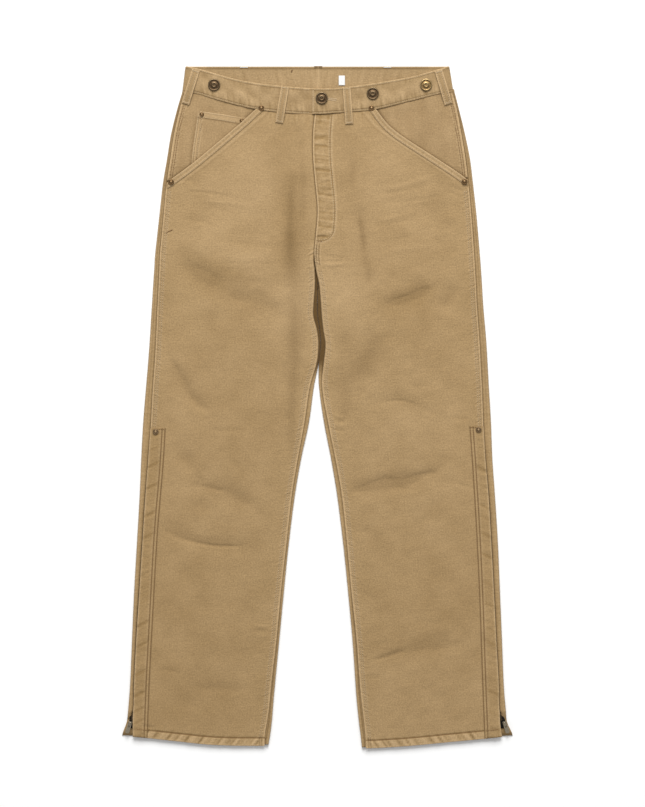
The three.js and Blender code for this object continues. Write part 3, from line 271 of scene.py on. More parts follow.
FINE_FOLDS = named_rows(
    Fold,
    # Wearer's right hip
    (-34, 454, -23, 383, 0, 7, -0.5), (-201, 342, -132, 331, 2, 3.0, -0.40),
    (-220, 361, -189, 356, 0, 3.0, -0.40), (-212, 348, -150, 338, 0, 3.5, 0.20),
    (-190, 326, -104, 318, 2, 3.0, 0.25), (-176, 316, -110, 310, 0, 8, -0.35),
    (-214, 298, -160, 282, 3, 4, -0.30), (-200, 291, -150, 275, 3, 4, 0.25),
    (-150, 262, -60, 252, 0, 5, -0.22), (-168, 228, -10, 227, 0, 2.4, -0.10),
    (-154, 224, -12, 223, 0, 2.4, 0.06), (-44, 340, -38, 200, 0, 8, -0.70),
    (-23, 395, -20, 296, 0, 7, -0.40),
    # Wearer's right thigh and knee
    (-214, 227, -148, 201, -3, 11, -0.85), (-193, 209, -154, 193, 0, 8, -0.70),
    (-140, 176, -106, 168, 0, 8, -0.80), (-114, 202, -86, 197, 0, 6, -0.50),
    (-92, 162, -62, 153, 0, 9, -0.50), (-190, 168, -140, 158, 0, 14, 0.50),
    (-75, 178, -50, 168, 0, 12, 0.50), (-130, 236, -60, 230, 0, 12, 0.35),
    (-236, 80, -208, 30, 2, 5, -0.80), (-208, 28, -174, -6, -2, 6, -1.00),
    (-41, 110, -38, -85, -4, 8, -0.55), (-174, -35, -112, -37, 0, 5, -0.35),
    (-212, -72, -198, -105, 0, 9, -0.60), (-198, -105, -180, -118, 0, 8, -0.35),
    (-135, -85, -122, -95, 0, 6, -0.30), (-196, -121, -142, -134, 0, 4, -0.60),
    (-142, -134, -88, -168, 4, 9, -0.50), (-190, -146, -172, -165, 0, 9, -0.50),
    # Wearer's right shin
    (-244, -194, -217, -206, 0, 4, -0.30), (-219, -206, -120, -219, -5, 2.6, -0.95),
    (-215, -196, -150, -204, -3, 6, 0.30), (-228, -250, -206, -262, 0, 12, -0.35),
    (-170, -300, -110, -316, 0, 14, -0.25), (-98, -345, -76, -346, 0, 2.4, 0.35),
    (-100, -352, -76, -354, 0, 2.6, -0.45), (-98, -361, -76, -363, 0, 2.4, 0.30),
    (-255, -413, -214, -419, 0, 4, -0.35), (-190, -443, -110, -445, 0, 7, -0.45),
    (-250, -455, -180, -470, 0, 10, -0.30), (-277, -504, -256, -506, 0, 2.4, -0.8),
    # Wearer's left hip
    (55, 395, 57, 345, 0, 8, -0.30), (63, 392, 65, 345, 0, 5, 0.25),
    (66, 312, 76, 236, 0, 5, -0.85), (76, 236, 86, 196, 0, 9, -0.40),
    (96, 344, 180, 366, -3, 3, 0.25), (90, 336, 186, 356, -3, 3.5, -0.30),
    (90, 322, 216, 341, -4, 3, -0.24), (86, 294, 168, 316, -3, 3, 0.25),
    (90, 286, 170, 306, -3, 4, -0.26), (84, 260, 160, 274, -2, 4, -0.22),
    (110, 246, 186, 256, 0, 5, 0.22), (120, 300, 210, 322, 0, 10, -0.30),
    (206, 352, 236, 338, 0, 3, -0.50), (200, 346, 232, 330, 0, 3, -0.36),
    (6, 240, 46, 236, 0, 2.5, -0.36), (8, 232, 40, 231, 0, 2.4, -0.30),
    (5, 226, 48, 228, -2, 2.5, 0.36), (-2, 269.5, 13.5, 270.5, 1.5, 1.8, -0.9),
    (3, 355, 20, 356, 0, 1.7, -0.35), (2, 342, 22, 344, 0, 1.7, -0.45),
    (2, 332, 22, 334, 0, 1.7, -0.45), (4, 306, 24, 316, -1, 2.2, -0.5),
    # Wearer's left thigh and knee
    (106, 163, 186, 192, -3, 6, -1.00), (196, 152, 222, 192, 0, 10, -0.70),
    (222, 192, 238, 214, 0, 6, -0.30), (93, 120, 44, 30, 6, 22, -0.70),
    (46, 34, 42, -22, 0, 12, -0.50), (22, 140, 26, 40, 0, 9, 0.40), (77, 9, 95, 30, -2, 3, -0.36),
    (103, 7, 162, 1, 7, 2.8, -0.50), (162, 1, 194, -15, 0, 4, -0.30),
    (140, 34, 200, 34, 0, 3, -0.20), (214, -17, 240, -19, 0, 4, -0.40),
    (24, -12, 42, -16, 0, 2.2, 0.40), (24, -19, 44, -23, 0, 2.2, -0.50),
    (25, -26, 42, -30, 0, 2.2, 0.40), (26, -34, 44, -38, 0, 2.2, -0.50),
    (55, -133, 108, -111, -3, 5, -0.90), (104, -112, 142, -119, -3, 5, -1.10),
    (140, -119, 190, -101, 2, 5, -0.90), (120, -122, 150, -132, 0, 5, -0.50),
    (190, -100, 208, -74, 0, 7, -0.36), (216, -119, 246, -127, 0, 3, -0.36),
    (150, -150, 200, -140, 0, 16, 0.36),
    # Wearer's left shin
    (60, -197, 84, -196, 0, 4, -0.30), (165, -172, 186, -180, 0, 8, -0.30),
    (113, -230, 94, -252, 0, 4, -0.30), (143, -341, 196, -339, 0, 5, -0.26),
    (66, -292, 100, -316, 4, 4, -0.26), (88, -400, 140, -384, 0, 3, -0.60),
    (140, -385, 234, -371, -3, 6, -0.36), (88, -391, 136, -377, 0, 6, 0.26),
    (70, -427, 96, -428, 0, 3, -0.36), (76, -419, 98, -419, 0, 2.4, 0.26),
)

BeltLoop = namedtuple("BeltLoop", "name top_x top_y low_x low_y")
BELT_LOOPS = (
    BeltLoop("loop_side_right", -191.8, 533.4, -208.6, 479.4),
    BeltLoop("loop_front_right", -51.0, 507.4, -60.4, 449.5),
    BeltLoop("loop_front_left", 46.0, 506.2, 50.4, 447.6),
    BeltLoop("loop_side_left", 191.0, 532.6, 207.1, 479.0),
)
BACK_LOOPS = (
    ("loop_back_right", -116.3),
    ("loop_back_centre", 1.2),
    ("loop_back_left", 110.8),
)

Side = namedtuple("Side", "name sign leg hem slant placket")
SIDES = (
    Side("right", -1, RIGHT_LEG, RIGHT_HEM, RIGHT_SLANT, RIGHT_PLACKET),
    Side("left", 1, LEFT_LEG, LEFT_HEM, LEFT_SLANT, LEFT_PLACKET),
)
RIGHT, LEFT = SIDES


def spline(tab, name, places, key="y"):
    """Values of a table's column at places on its key column, on one smooth curve."""
    keys, values = tab[key], tab[name]
    slopes = np.empty_like(values)
    slopes[1:-1] = (values[2:] - values[:-2]) / (keys[2:] - keys[:-2])
    slopes[0] = (values[1] - values[0]) / (keys[1] - keys[0])
    slopes[-1] = (values[-1] - values[-2]) / (keys[-1] - keys[-2])
    places = np.clip(places, keys[0], keys[-1])
    i = np.clip(np.searchsorted(keys, places, side="right") - 1, 0, len(keys) - 2)
    span = keys[i + 1] - keys[i]
    t = (places - keys[i]) / span
    t2, t3 = t * t, t * t * t
    return (
        (2 * t3 - 3 * t2 + 1) * values[i]
        + (t3 - 2 * t2 + t) * span * slopes[i]
        + (3 * t2 - 2 * t3) * values[i + 1]
        + (t3 - t2) * span * slopes[i + 1]
    )


def mix(a, b, t):
    """The value a share t of the way from a to b."""
    return a + (b - a) * t


def smooth(x, low, high):
    """0 below low, 1 above high, with a soft step between."""
    t = np.clip((x - low) / (high - low), 0, 1)
    return t * t * (3 - 2 * t)


def hump(x, middle, width):
    """1 at the middle, fading to both sides."""
    return np.exp(-(((x - middle) / width) ** 2))


def humps(x, *rows):
    """Several humps together, each with its middle, width and height."""
    return sum(height * hump(x, middle, width) for middle, width, height in rows)


def inside(x, low, high, blur):
    """1 between low and high, with blurred ends."""
    return smooth(x, low - blur, low + blur) * (1 - smooth(x, high - blur, high + blur))


WAVE_SHARES = (0.58, 0.79, 1.0, 1.31, 1.83)


def wobble(places, pitch, seed):
    """An uneven wave between about -1 and 1, its crests about one pitch apart."""
    rng = np.random.default_rng(seed)
    weights = rng.uniform(0.5, 1.0, len(WAVE_SHARES))
    starts = rng.uniform(0, 2 * math.pi, len(WAVE_SHARES))
    waves = (
        weight * np.sin(2 * math.pi * places / (pitch * share) + start)
        for weight, share, start in zip(weights, WAVE_SHARES, starts)
    )
    return sum(waves) / (0.62 * weights.sum())


def drift(x, y, pitch, seed, count=9):
    """Smooth unevenness over a surface, between about -1 and 1."""
    rng = np.random.default_rng(seed)
    total = 0
    for k in range(count):
        angle = rng.uniform(0, math.pi)
        reach = pitch * rng.uniform(0.6, 1.6)
        along = x * math.cos(angle) + y * math.sin(angle)
        total = total + np.sin(2 * math.pi * along / reach + rng.uniform(0, 2 * math.pi))
    return total / math.sqrt(2 * count)


def slant_at(side, y):
    """Distance of the slant pocket's edge, past any seam below the pocket."""
    low = side.slant["y"][0]
    return np.where(y < low, 1e3, spline(side.slant, "x", y))


def band_top(x):
    """Upper edge of the waistband's front."""
    return spline(BAND_TOP, "y", x, key="x")


def band_low(x):
    """Lower edge of the waistband's front."""
    return spline(BAND_LOW, "y", x, key="x")


def hem_at(side, distance):
    """Height of the hem's edge."""
    return spline(side.hem, "y", distance, key="x")


def fold_height(fold, x, y):
    """Height that one fold adds: deepest on its middle line, fading to both ends."""
    length = math.hypot(fold.x1 - fold.x0, fold.y1 - fold.y0)
    ux, uy = (fold.x1 - fold.x0) / length, (fold.y1 - fold.y0) / length
    fx, fy = x - fold.x0, y - fold.y0
    t = (fx * ux + fy * uy) / length
    across = fx * uy - fy * ux
    line = -fold.bow * np.sin(math.pi * np.clip(t, 0, 1))
    ends = smooth(t, -0.15, 0.3) * (1 - smooth(t, 0.7, 1.15))
    return fold.depth * ends * hump(across, line, fold.width)


def fold_total(x, y, folds):
    """All of a table's folds together."""
    return sum(fold_height(fold, x, y) for fold in folds)


def seam_height(y):
    """Height of the fronts' upper surface at the seams."""
    return mix(EDGE_HEIGHT, HIP_HEIGHT, smooth(y, HIP_FROM_Y, HIP_TO_Y))


def top_height(side, x, y):
    """Height of the fronts' upper surface with its folds, before the sewing shapes it."""
    distance = x * side.sign
    out = spline(side.leg, "seam_out", y)
    inner = spline(side.leg, "seam_in", y)
    t = np.clip((distance - inner) / (out - inner), 0, 1)
    rise = spline(LOFT, "rise", y) * np.sin(math.pi * t) ** 0.7
    dip = 1.1 * smooth(y, 20, 90) * (1 - smooth(y, 180, 235)) * (1 - smooth(distance, inner, inner + 22))
    folds = FOLD_GAIN * (fold_total(x, y, LARGE_FOLDS) + fold_total(x, y, FINE_FOLDS))
    fine = 0.24 * drift(x, 1.6 * y, 46, 11 + side.sign)
    fine = fine + 0.10 * drift(0.8 * x, 1.3 * y, 19, 13 + side.sign)
    streaks = 0.02 * drift(0.25 * x + 0.2 * distance, y, 8, 15 + side.sign, 14)
    z = seam_height(y) + rise - dip + (folds + fine + streaks) * np.minimum(1, 12 * t * (1 - t))
    return np.clip(z, LOWEST_TOP, HIGHEST_TOP)


def seam_form(away, along, seed, width=FELL_WIDTH, lines=SEAM_LINES):
    """A felled seam's form: a raised band with two stitched grooves and puckers across it."""
    band = 0.5 * (1 - smooth(away, width - 1.0, width + 1.6))
    grooves = 0.42 * sum(hump(away, line, 0.8) for line in lines)
    strength = mix(0.7, 1.2, 0.5 + 0.5 * wobble(along, 61, seed + 1))
    puckers = 0.34 * wobble(along + 0.5 * away, 5.6, seed) * strength * inside(away, 0.5, width + 3, 2.5)
    return band - grooves + puckers


def hem_ropes(side, distance, above_hem):
    """The slanting waves that washing pulls into a hem."""
    return wobble(distance + 0.7 * above_hem, 12.6, 23 + side.sign) * hump(above_hem, 0.5 * HEM_DEPTH, 7)


def below_crotch(y):
    """1 along the legs' in seams, below the crotch."""
    return 1 - smooth(y, CROTCH_Y - 4, CROTCH_Y + 10)


def out_seam_share(y):
    """1 where the out seam is felled, from the zip's top to the pocket."""
    return smooth(y, ZIP_TOP_Y + 4, ZIP_TOP_Y + 14) * (1 - smooth(y, 340, 352))


def past_fly(to_in, y):
    """How far a place lies past the fly's stitch line, which turns in at its foot; below 0 within it."""
    dx, dy = to_in - (FLY_STITCH - FLY_TURN), FLY_STITCH_FOOT_Y + FLY_TURN - y
    turned_in = np.where(dx > 0, np.hypot(dx, dy) - FLY_TURN, dy - FLY_TURN)
    return np.where(dy < 0, to_in - FLY_STITCH, turned_in)


def front_sewing(side, x, y):
    """What the sewing adds to a front: felled seams, the hem, and the fly."""
    distance = x * side.sign
    to_in = distance - spline(side.leg, "seam_in", y)
    to_out = spline(side.leg, "front_out", y) - distance
    above_hem = y - hem_at(side, distance)
    seed = 20 + side.sign
    z = seam_form(to_in, y, seed) * below_crotch(y)
    z = z + seam_form(to_out, y, seed + 40) * out_seam_share(y)
    hem = inside(above_hem, -2, HEM_DEPTH, 0.8)
    roping = hem_ropes(side, distance, above_hem)
    z = z + HEM_LIFT * hem + 0.42 * roping - 0.6 * hump(above_hem, HEM_DEPTH + 0.4, 1.1)
    if side.sign > 0:
        past = past_fly(to_in, y)
        uneven = 0.7 * wobble(y + 0.12 * distance, 9.5, seed + 5)
        uneven = uneven + 0.5 * wobble(y - 0.2 * distance, 21, seed + 6)
        uneven = uneven + 0.35 * drift(0.6 * distance, y, 8, seed + 10)
        uneven = uneven * mix(0.45, 1.15, 0.5 + 0.5 * wobble(y, 70, seed + 8))
        puckers = uneven * inside(to_in, 2, 99, 3) * (1 - smooth(past, -5, 1))
        form = 0.46 * puckers - 0.3 * hump(past, -1.2, 1.6) + 0.25 * (1 - smooth(past, -1, 2))
        z = z + smooth(to_in, -2, 1) * form
    rise = smooth(y, CROTCH_Y - 6, CROTCH_Y + 8) * (1 - smooth(y, FLY_BOTTOM_Y + 14, FLY_BOTTOM_Y + 26))
    z = z + 1.3 * rise * seam_form(to_in, y, seed + 7, CROTCH_WIDTH, CROTCH_LINES)
    below_band = band_low(x) - y
    gathers = 0.26 * wobble(distance, 9.5, seed + 9) * inside(below_band, -4, 14, 6)
    return z * smooth(below_band, -1, 6) + gathers * smooth(below_band, 0, 5)


def front_surface(side, x, y):
    """Upper surface of a front."""
    return top_height(side, x, y) + front_sewing(side, x, y)


def edge_fall(away, radius):
    """How far a folded edge has rounded down, by the distance from the edge."""
    rest = np.clip(radius - away, 0, radius)
    return FALL_SHARE * (radius - np.sqrt(radius * radius - rest * rest))


def grid_faces(rows, columns):
    """Quads of a grid of points counted row by row, and the grid of their numbers."""
    index = np.arange(rows * columns).reshape(rows, columns)
    corners = (index[:-1, :-1], index[:-1, 1:], index[1:, 1:], index[1:, :-1])
    return np.stack(corners, -1).reshape(-1, 4), index


def kept(count, every):
    """One place in every few of a row, with the last."""
    return np.unique(np.append(np.arange(0, count, every), count - 1))


def rim_faces(outer_line, inner_line, picks):
    """Faces between a fine and a coarse line of points."""
    faces = []
    for k, (a, b) in enumerate(zip(picks[:-1], picks[1:])):
        faces.append([*outer_line[a : b + 1][::-1], inner_line[k], inner_line[k + 1]])
    return faces


def shell_faces(rows, columns, every):
    """Faces of a closed wall between a fine outer grid and an inner grid of one point in every few."""
    fine, outer = grid_faces(rows, columns)
    row_picks, column_picks = kept(rows, every), kept(columns, every)
    coarse, inner = grid_faces(len(row_picks), len(column_picks))
    inner = inner + rows * columns
    rims = rim_faces(outer[0], inner[0], column_picks)
    rims += rim_faces(outer[:, -1], inner[:, -1], row_picks)
    rims += rim_faces(outer[-1, ::-1], inner[-1, ::-1], columns - 1 - column_picks[::-1])
    rims += rim_faces(outer[::-1, 0], inner[::-1, 0], rows - 1 - row_picks[::-1])
    return fine, coarse[:, ::-1] + rows * columns, rims


def volume(points, quads):
    """Six times the volume that quads turn round the origin."""
    a, b, c, d = (points[quads[:, k]] for k in range(4))
    return (a * np.cross(b, c)).sum() + (a * np.cross(c, d)).sum()


def store_field(mesh, name, values):
    """Stores a number or a vector on each of a mesh's points."""
    kind, slot = ("FLOAT_VECTOR", "vector") if values.ndim == 2 else ("FLOAT", "value")
    attribute = mesh.attributes.new(name, kind, "POINT")
    attribute.data.foreach_set(slot, np.ascontiguousarray(values, np.float32).ravel())


def mesh_object(name, points, faces, paint, fields=()):
    """A smooth mesh from points in millimetres, with its named fields stored on the points."""
    mesh = bpy.data.meshes.new(name)
    mesh.from_pydata((points * MM).tolist(), [], faces)
    mesh.polygons.foreach_set("use_smooth", np.ones(len(mesh.polygons), bool))
    for field, values in dict(fields).items():
        store_field(mesh, field, values)
    mesh.materials.append(paint)
    mesh.update()
    made = bpy.data.objects.new(name, mesh)
    bpy.context.scene.collection.objects.link(made)
    return made


def dress(piece, body, slot, *nodes):
    """Puts a piece on its body and has it stand for its CAD nodes by hiding them; the slot is not used."""
    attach(piece, body)
    if nodes:
        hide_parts(*nodes)
    return piece


def cut_sheet(piece, node, slot="canvas"):
    """Puts a cloth piece on the garment body in its CAD node's stead, hiding the node."""
    dress(piece, "garment", slot, node)


def grid_points(x, y, z):
    """A grid of points from coordinates that are spread to one shape."""
    return np.stack(np.broadcast_arrays(x, y, z), -1)


def cloth_piece(name, outer, inner, paint, along, fade, soil, every=INNER_EVERY, within=None):
    """A cloth wall between two grids, with the cloth's own coordinates, and its wear and painted shade
    outside and within.
    """
    rows, columns = outer.shape[:2]
    picks = np.ix_(kept(rows, every), kept(columns, every))
    points = np.concatenate([outer.reshape(-1, 3), inner[picks].reshape(-1, 3)])
    fine, coarse, rims = shell_faces(rows, columns, every)
    faces = fine.tolist() + coarse.tolist() + [list(map(int, rim)) for rim in rims]
    if volume(points, fine) + volume(points, coarse) < 0:
        faces = [face[::-1] for face in faces]
    cloth = np.column_stack([along.reshape(-1, 2), np.zeros(rows * columns)])
    under = np.column_stack([along[picks].reshape(-1, 2), np.full(picks[0].size * picks[1].size, 50.0)])
    fade_within, shade_and_soil_within = within or (0 * fade + 0.2, 0 * soil)
    fields = {
        "cloth": np.concatenate([cloth, under]),
        "fade": np.concatenate([fade.ravel(), fade_within[picks].ravel()]),
        "soil": np.concatenate([soil.ravel(), shade_and_soil_within[picks].ravel()]),
    }
    return mesh_object(name + "_cloth", points, faces, material(paint), fields)


def laid_cloth(name, x, y, top, wall, edge, paint, along, fade, soil):
    """A cloth wall under a height field, its edges rounded over."""
    fall = edge_fall(edge, wall / 2)
    outer, inner = grid_points(x, y, top - fall), grid_points(x, y, top - wall + fall)
    return cloth_piece(name, outer, inner, paint, along, fade, soil)


# Shader expressions


class Term:
    """A node socket whose maths is written as Python expressions."""

    def __init__(self, tree, socket):
        self.tree = tree
        self.socket = socket

    def maths(self, operation, *values):
        """A Math node of this operation over the values."""
        node = self.tree.nodes.new("ShaderNodeMath")
        node.operation = operation
        for slot, value in zip(node.inputs, values):
            connect(self.tree, slot, value)
        return Term(self.tree, node.outputs[0])

    def __add__(self, other):
        return self.maths("ADD", self, other)

    def __radd__(self, other):
        return self.maths("ADD", other, self)

    def __sub__(self, other):
        return self.maths("SUBTRACT", self, other)

    def __rsub__(self, other):
        return self.maths("SUBTRACT", other, self)

    def __mul__(self, other):
        return self.maths("MULTIPLY", self, other)

    def __rmul__(self, other):
        return self.maths("MULTIPLY", other, self)

    def sine(self):
        """Sine of the value."""
        return self.maths("SINE", self)

    def clamped(self):
        """The value kept between 0 and 1."""
        return self.maths("MINIMUM", self.maths("MAXIMUM", self, 0.0), 1.0)


def connect(tree, slot, value):
    """Links a term to a socket, or sets the socket to a plain value."""
    if isinstance(value, Term):
        tree.links.new(value.socket, slot)
    elif hasattr(value, "__len__"):
        slot.default_value = (*value, 1.0)[: len(slot.default_value)]
    else:
        slot.default_value = value


class Paint:
    """One material's node tree."""

    def __init__(self, name, **constants):
        self.material = bpy.data.materials.new(name)
        self.material.use_nodes = True
        self.tree = self.material.node_tree
        self.shader = self.tree.nodes["Principled BSDF"]
        for socket, value in constants.items():
            self.shader.inputs[socket.replace("_", " ")].default_value = value

    def add(self, kind, settings, inputs, output=0):
        """A node of a kind, its settings set first, then its sockets; gives one output as a term."""
        node = self.tree.nodes.new(kind)
        for name, value in settings.items():
            setattr(node, name, value)
        for name, value in inputs.items():
            connect(self.tree, node.inputs[name], value)
        return Term(self.tree, node.outputs[output])

    def field(self, name, output="Fac"):
        """A field stored on the mesh's points."""
        return self.add("ShaderNodeAttribute", {"attribute_name": name}, {}, output)

    def stretched(self, vector, scale):
        """A vector times a scale for each axis."""
        return self.add("ShaderNodeVectorMath", {"operation": "MULTIPLY"}, {0: vector, 1: scale})

    def noise(self, vector, scale, detail=2.0, rough=0.5):
        """Smooth noise, centred on zero."""
        inputs = {"Vector": vector, "Scale": scale, "Detail": detail, "Roughness": rough}
        return self.add("ShaderNodeTexNoise", {}, inputs, "Fac") - 0.5

    def blend(self, share, first, second):
        """One colour mixed with another by a share."""
        settings = {"data_type": "RGBA", "clamp_factor": True}
        return self.add("ShaderNodeMix", settings, {0: share, 6: first, 7: second}, 2)

    def scaled(self, colour, amount):
        """A colour made lighter or darker by an amount."""
        return self.add("ShaderNodeVectorMath", {"operation": "SCALE"}, {0: colour, "Scale": amount})

    def parts(self, vector):
        """The three numbers of a vector."""
        node = self.tree.nodes.new("ShaderNodeSeparateXYZ")
        self.tree.links.new(vector.socket, node.inputs[0])
        return [Term(self.tree, socket) for socket in node.outputs]

    def feed(self, **terms):
        """Links terms to the shader's sockets."""
        for name, term in terms.items():
            self.tree.links.new(term.socket, self.shader.inputs[name.replace("_", " ")])

    def bump(self, height, distance, strength=1.0):
        """Feeds a height to the shader's normal."""
        inputs = {"Height": height, "Distance": distance * MM, "Strength": strength}
        self.feed(Normal=self.add("ShaderNodeBump", {}, inputs, "Normal"))


def canvas_paint(name, base, faded, soiled, pitch):
    """Washed duck canvas: a plain weave with slubs, faded where it rubs, and darker where dirt stays and
    where shade is painted in creases, gaps and under laps.
    """
    paint = Paint(name, Roughness=0.93, Specular_IOR_Level=0.22, Sheen_Weight=0.12, Sheen_Roughness=0.5)
    cloth = paint.field("cloth", "Vector")
    u, v, _ = paint.parts(cloth)
    weft = paint.noise(paint.stretched(cloth, (0.07, 0.45, 1.0)), 1.0, 2.0, 0.6)
    warp = paint.noise(paint.stretched(cloth, (0.45, 0.07, 1.0)), 1.0, 2.0, 0.6)
    grain = paint.noise(cloth, 0.42, 2.0, 0.8)
    mottle = paint.noise(cloth, 0.02, 3.0, 0.5)
    fade = paint.field("fade") + weft * 0.15 + mottle * 0.4
    soil = paint.field("soil") - mottle * 0.12
    colour = paint.blend(fade.clamped(), base, faded)
    # Painted shade: this blend darkens towards the shade colour in creases, gaps and under laps, as well as
    # where dirt stays.
    colour = paint.blend(soil.clamped(), colour, soiled)
    tone = 1.0 + weft * 0.17 + warp * 0.15 + grain * 0.95 + mottle * 0.10
    paint.feed(Base_Color=paint.scaled(colour, tone))
    thread = 2 * math.pi / pitch
    weave = (u * thread).sine() * (v * thread).sine()
    height = 0.5 + weave * 0.3 + (weft + warp) * 0.5 + grain * 1.4
    paint.bump(height, 0.32, 0.9)


def thread_paint(name, colour):
    """Twisted cotton thread."""
    paint = Paint(name, Roughness=0.85, Specular_IOR_Level=0.2, Sheen_Weight=0.2)
    cloth = paint.field("cloth", "Vector")
    u, v, _ = paint.parts(cloth)
    twist = (u * 9.0 + v * 6.0).sine()
    wear = paint.noise(cloth, 0.09, 3.0, 0.6)
    paint.feed(Base_Color=paint.scaled(colour, 1.0 + twist * 0.10 + wear * 0.55))
    paint.bump(twist, 0.06)


def metal_paint(name, dark, bright, roughness):
    """Aged metal: bright on the raised worn places, dark in the recesses; on the zips the brightness rising
    with height is a painted highlight.
    """
    paint = Paint(name, Metallic=1.0)
    place = paint.add("ShaderNodeTexCoord", {}, {}, "Object")
    spots = paint.noise(place, 900.0, 4.0, 0.6)
    broad = paint.noise(place, 260.0, 2.0, 0.5)
    worn = (paint.field("worn") + spots * 0.7 + broad * 0.5).clamped()
    paint.feed(
        Base_Color=paint.blend(worn, dark, bright),
        Roughness=roughness + spots * 0.4 - worn * 0.12,
    )
    paint.bump(spots + broad, 0.08)


def plain_paint(name, colour, roughness):
    """A woven tape or label: fine ribs across."""
    paint = Paint(name, Roughness=roughness, Specular_IOR_Level=0.12)
    cloth = paint.field("cloth", "Vector")
    _, v, _ = paint.parts(cloth)
    ribs = (v * 9.0).sine()
    spots = paint.noise(cloth, 1.2, 3.0, 0.6)
    paint.feed(Base_Color=paint.scaled(colour, 1.0 + ribs * 0.06 + spots * 0.12))
    paint.bump(ribs, 0.1)


# What makes each finish, and the settings and roughness that it takes.
FINISHES = {
    "canvas": (canvas_paint, "pants_cloth", "canvas faded soiled weave_pitch"),
    "canvas_band": (canvas_paint, "pants_cloth", "band faded soiled weave_pitch"),
    "canvas_facing": (canvas_paint, "pants_cloth", "facing faded soiled weave_pitch"),
    "thread": (thread_paint, "pants_cloth", "thread"),
    "thread_dark": (thread_paint, "pants_cloth", "thread_dark"),
    "zip_tape": (plain_paint, "pants_cloth", "tape", 0.85),
    "label": (plain_paint, "pants_cloth", "label", 0.7),
    "button_dark": (metal_paint, "pants_metal", "dark worn", 0.46),
    "button_bright": (metal_paint, "pants_metal", "gilt_dark gilt", 0.4),
    "rivet": (metal_paint, "pants_metal", "rivet_dark rivet", 0.45),
    "rivet_pale": (metal_paint, "pants_metal", "pale_dark pale", 0.6),
    "zip_metal": (metal_paint, "pants_metal", "zip_dark zip", 0.35),
    "zip_teeth": (metal_paint, "pants_metal", "teeth zip_dark", 0.62),
}


def material(finish):
    """A finished material, made once from the settings."""
    name = "finish_" + finish
    if name not in bpy.data.materials:
        maker, group, settings, *roughness = FINISHES[finish]
        source = getattr(bpy.context.scene, group)
        maker(name, *(getattr(source, setting) for setting in settings.split()), *roughness)
    return bpy.data.materials[name]


# Cloth pieces

NEAR_STEPS = (0.0, 0.3, 0.8, 1.3, 1.9, 2.6, 3.6, 4.8, 6.0, 7.0, 7.7, 8.4, 9.2, 10.2, 11.4, 13.0)
FLY_STEPS = (15.0, 17.0, 19.0, 21.0, 23.0, 25.0, 26.6, 27.8, 28.6, 29.5, 31.0, 33.0)
FRONT_MIDDLE = 58
FRONT_ROW_STEP = 1.4


def front_rows():
    """Heights of a front's rows before the hem and the waist bend them."""
    hem = FOOT_Y + np.array((0.0, 0.3, 0.8, 1.6, 3.0, 5.0, 7.0, 9.0, 10.6, 11.6, 12.4, 13.4, 15.0, 17.0))
    body = np.arange(FOOT_Y + 19.5, 462.0, FRONT_ROW_STEP)
    return np.concatenate([hem, body, (464.0, 466.0, 468.0, 470.0, 474.0)])


def build_front(side):
    """One front: hem, out seam, slant pocket edge, waist, fly edge and in seam."""
    under = side.sign < 0
    base = front_rows()[:, None]
    middle = np.linspace(0, 1, FRONT_MIDDLE + 2)[1:-1]
    from_out = np.array(NEAR_STEPS)
    from_in = np.array(NEAR_STEPS + FLY_STEPS)[::-1]
    y = base + np.zeros(len(from_out) + len(middle) + len(from_in))
    waist_base = 466.0
    for _ in range(6):
        out = np.minimum(spline(side.leg, "front_out", y), slant_at(side, y))
        lap = smooth(y, FLY_BOTTOM_Y - 8, FLY_BOTTOM_Y + 16) if under else 0
        inner = spline(side.leg, "seam_in", y) - (FLY_LAP + 0.5) * lap
        between = slice(len(from_out), -len(from_in))
        body = mix(out[:, between] - from_out[-1], inner[:, between] + from_in[0], middle)
        near_out, near_in = out[:, : len(from_out)] - from_out, inner[:, -len(from_in) :] + from_in
        distance = np.concatenate([near_out, body, near_in], 1)
        x = distance * side.sign
        foot = (hem_at(side, distance) - FOOT_Y) * (1 - smooth(base - FOOT_Y, 60, 260))
        waist = (band_low(x) - waist_base) * smooth(base, 340, waist_base)
        y = base + foot + waist
    to_in = distance - spline(side.leg, "seam_in", y)
    to_out = out - distance
    above_hem = y - hem_at(side, distance)
    z = front_surface(side, x, y)
    if under:
        drop = LAP_DROP * smooth(y, CROTCH_Y + 3, FLY_BOTTOM_Y)
        z = z - drop * (1 - smooth(to_in, -1.5, 1.5))
    z = z - 2.2 * smooth(y - band_low(x), -1.2, 1.2)
    z = z - 0.35 * hump(slant_at(side, y) - distance, 0, 6)
    edge = np.minimum(np.minimum(to_out, distance - inner), above_hem)
    fade, soil = front_wear_and_shade(side, x, y, to_in, to_out, above_hem)
    along = np.stack([distance - 0.5 * (out + inner), y], -1)
    name = "front_" + side.name
    piece = laid_cloth(name, x, y, z, CANVAS, edge, "canvas", along, fade, soil)
    cut_sheet(piece, name)


# Broad worn or darker places on the fronts, some darker ones being painted shade of broad folds: how far they
# reach, and how much lighter.
Patch = namedtuple("Patch", "x y wide tall amount")
FADE_AND_SHADE_PATCHES = named_rows(
    Patch,
    (-30, 170, 50, 60, 0.22), (40, 190, 50, 60, 0.20), (-130, 140, 70, 50, -0.06),
    (130, -30, 80, 70, 0.08), (150, 140, 60, 50, -0.10), (-120, 330, 80, 70, 0.16),
    (120, 320, 70, 60, 0.08), (-150, 420, 90, 60, 0.06), (140, 420, 90, 60, 0.10),
    (-180, -470, 200, 70, -0.12), (180, -470, 200, 70, 0.05), (-110, -20, 60, 60, -0.08),
    (-180, -300, 110, 120, -0.10), (170, -330, 110, 110, -0.10), (-45, 290, 26, 90, -0.22),
    (-170, 215, 50, 26, -0.14), (140, 172, 46, 20, -0.12),
)
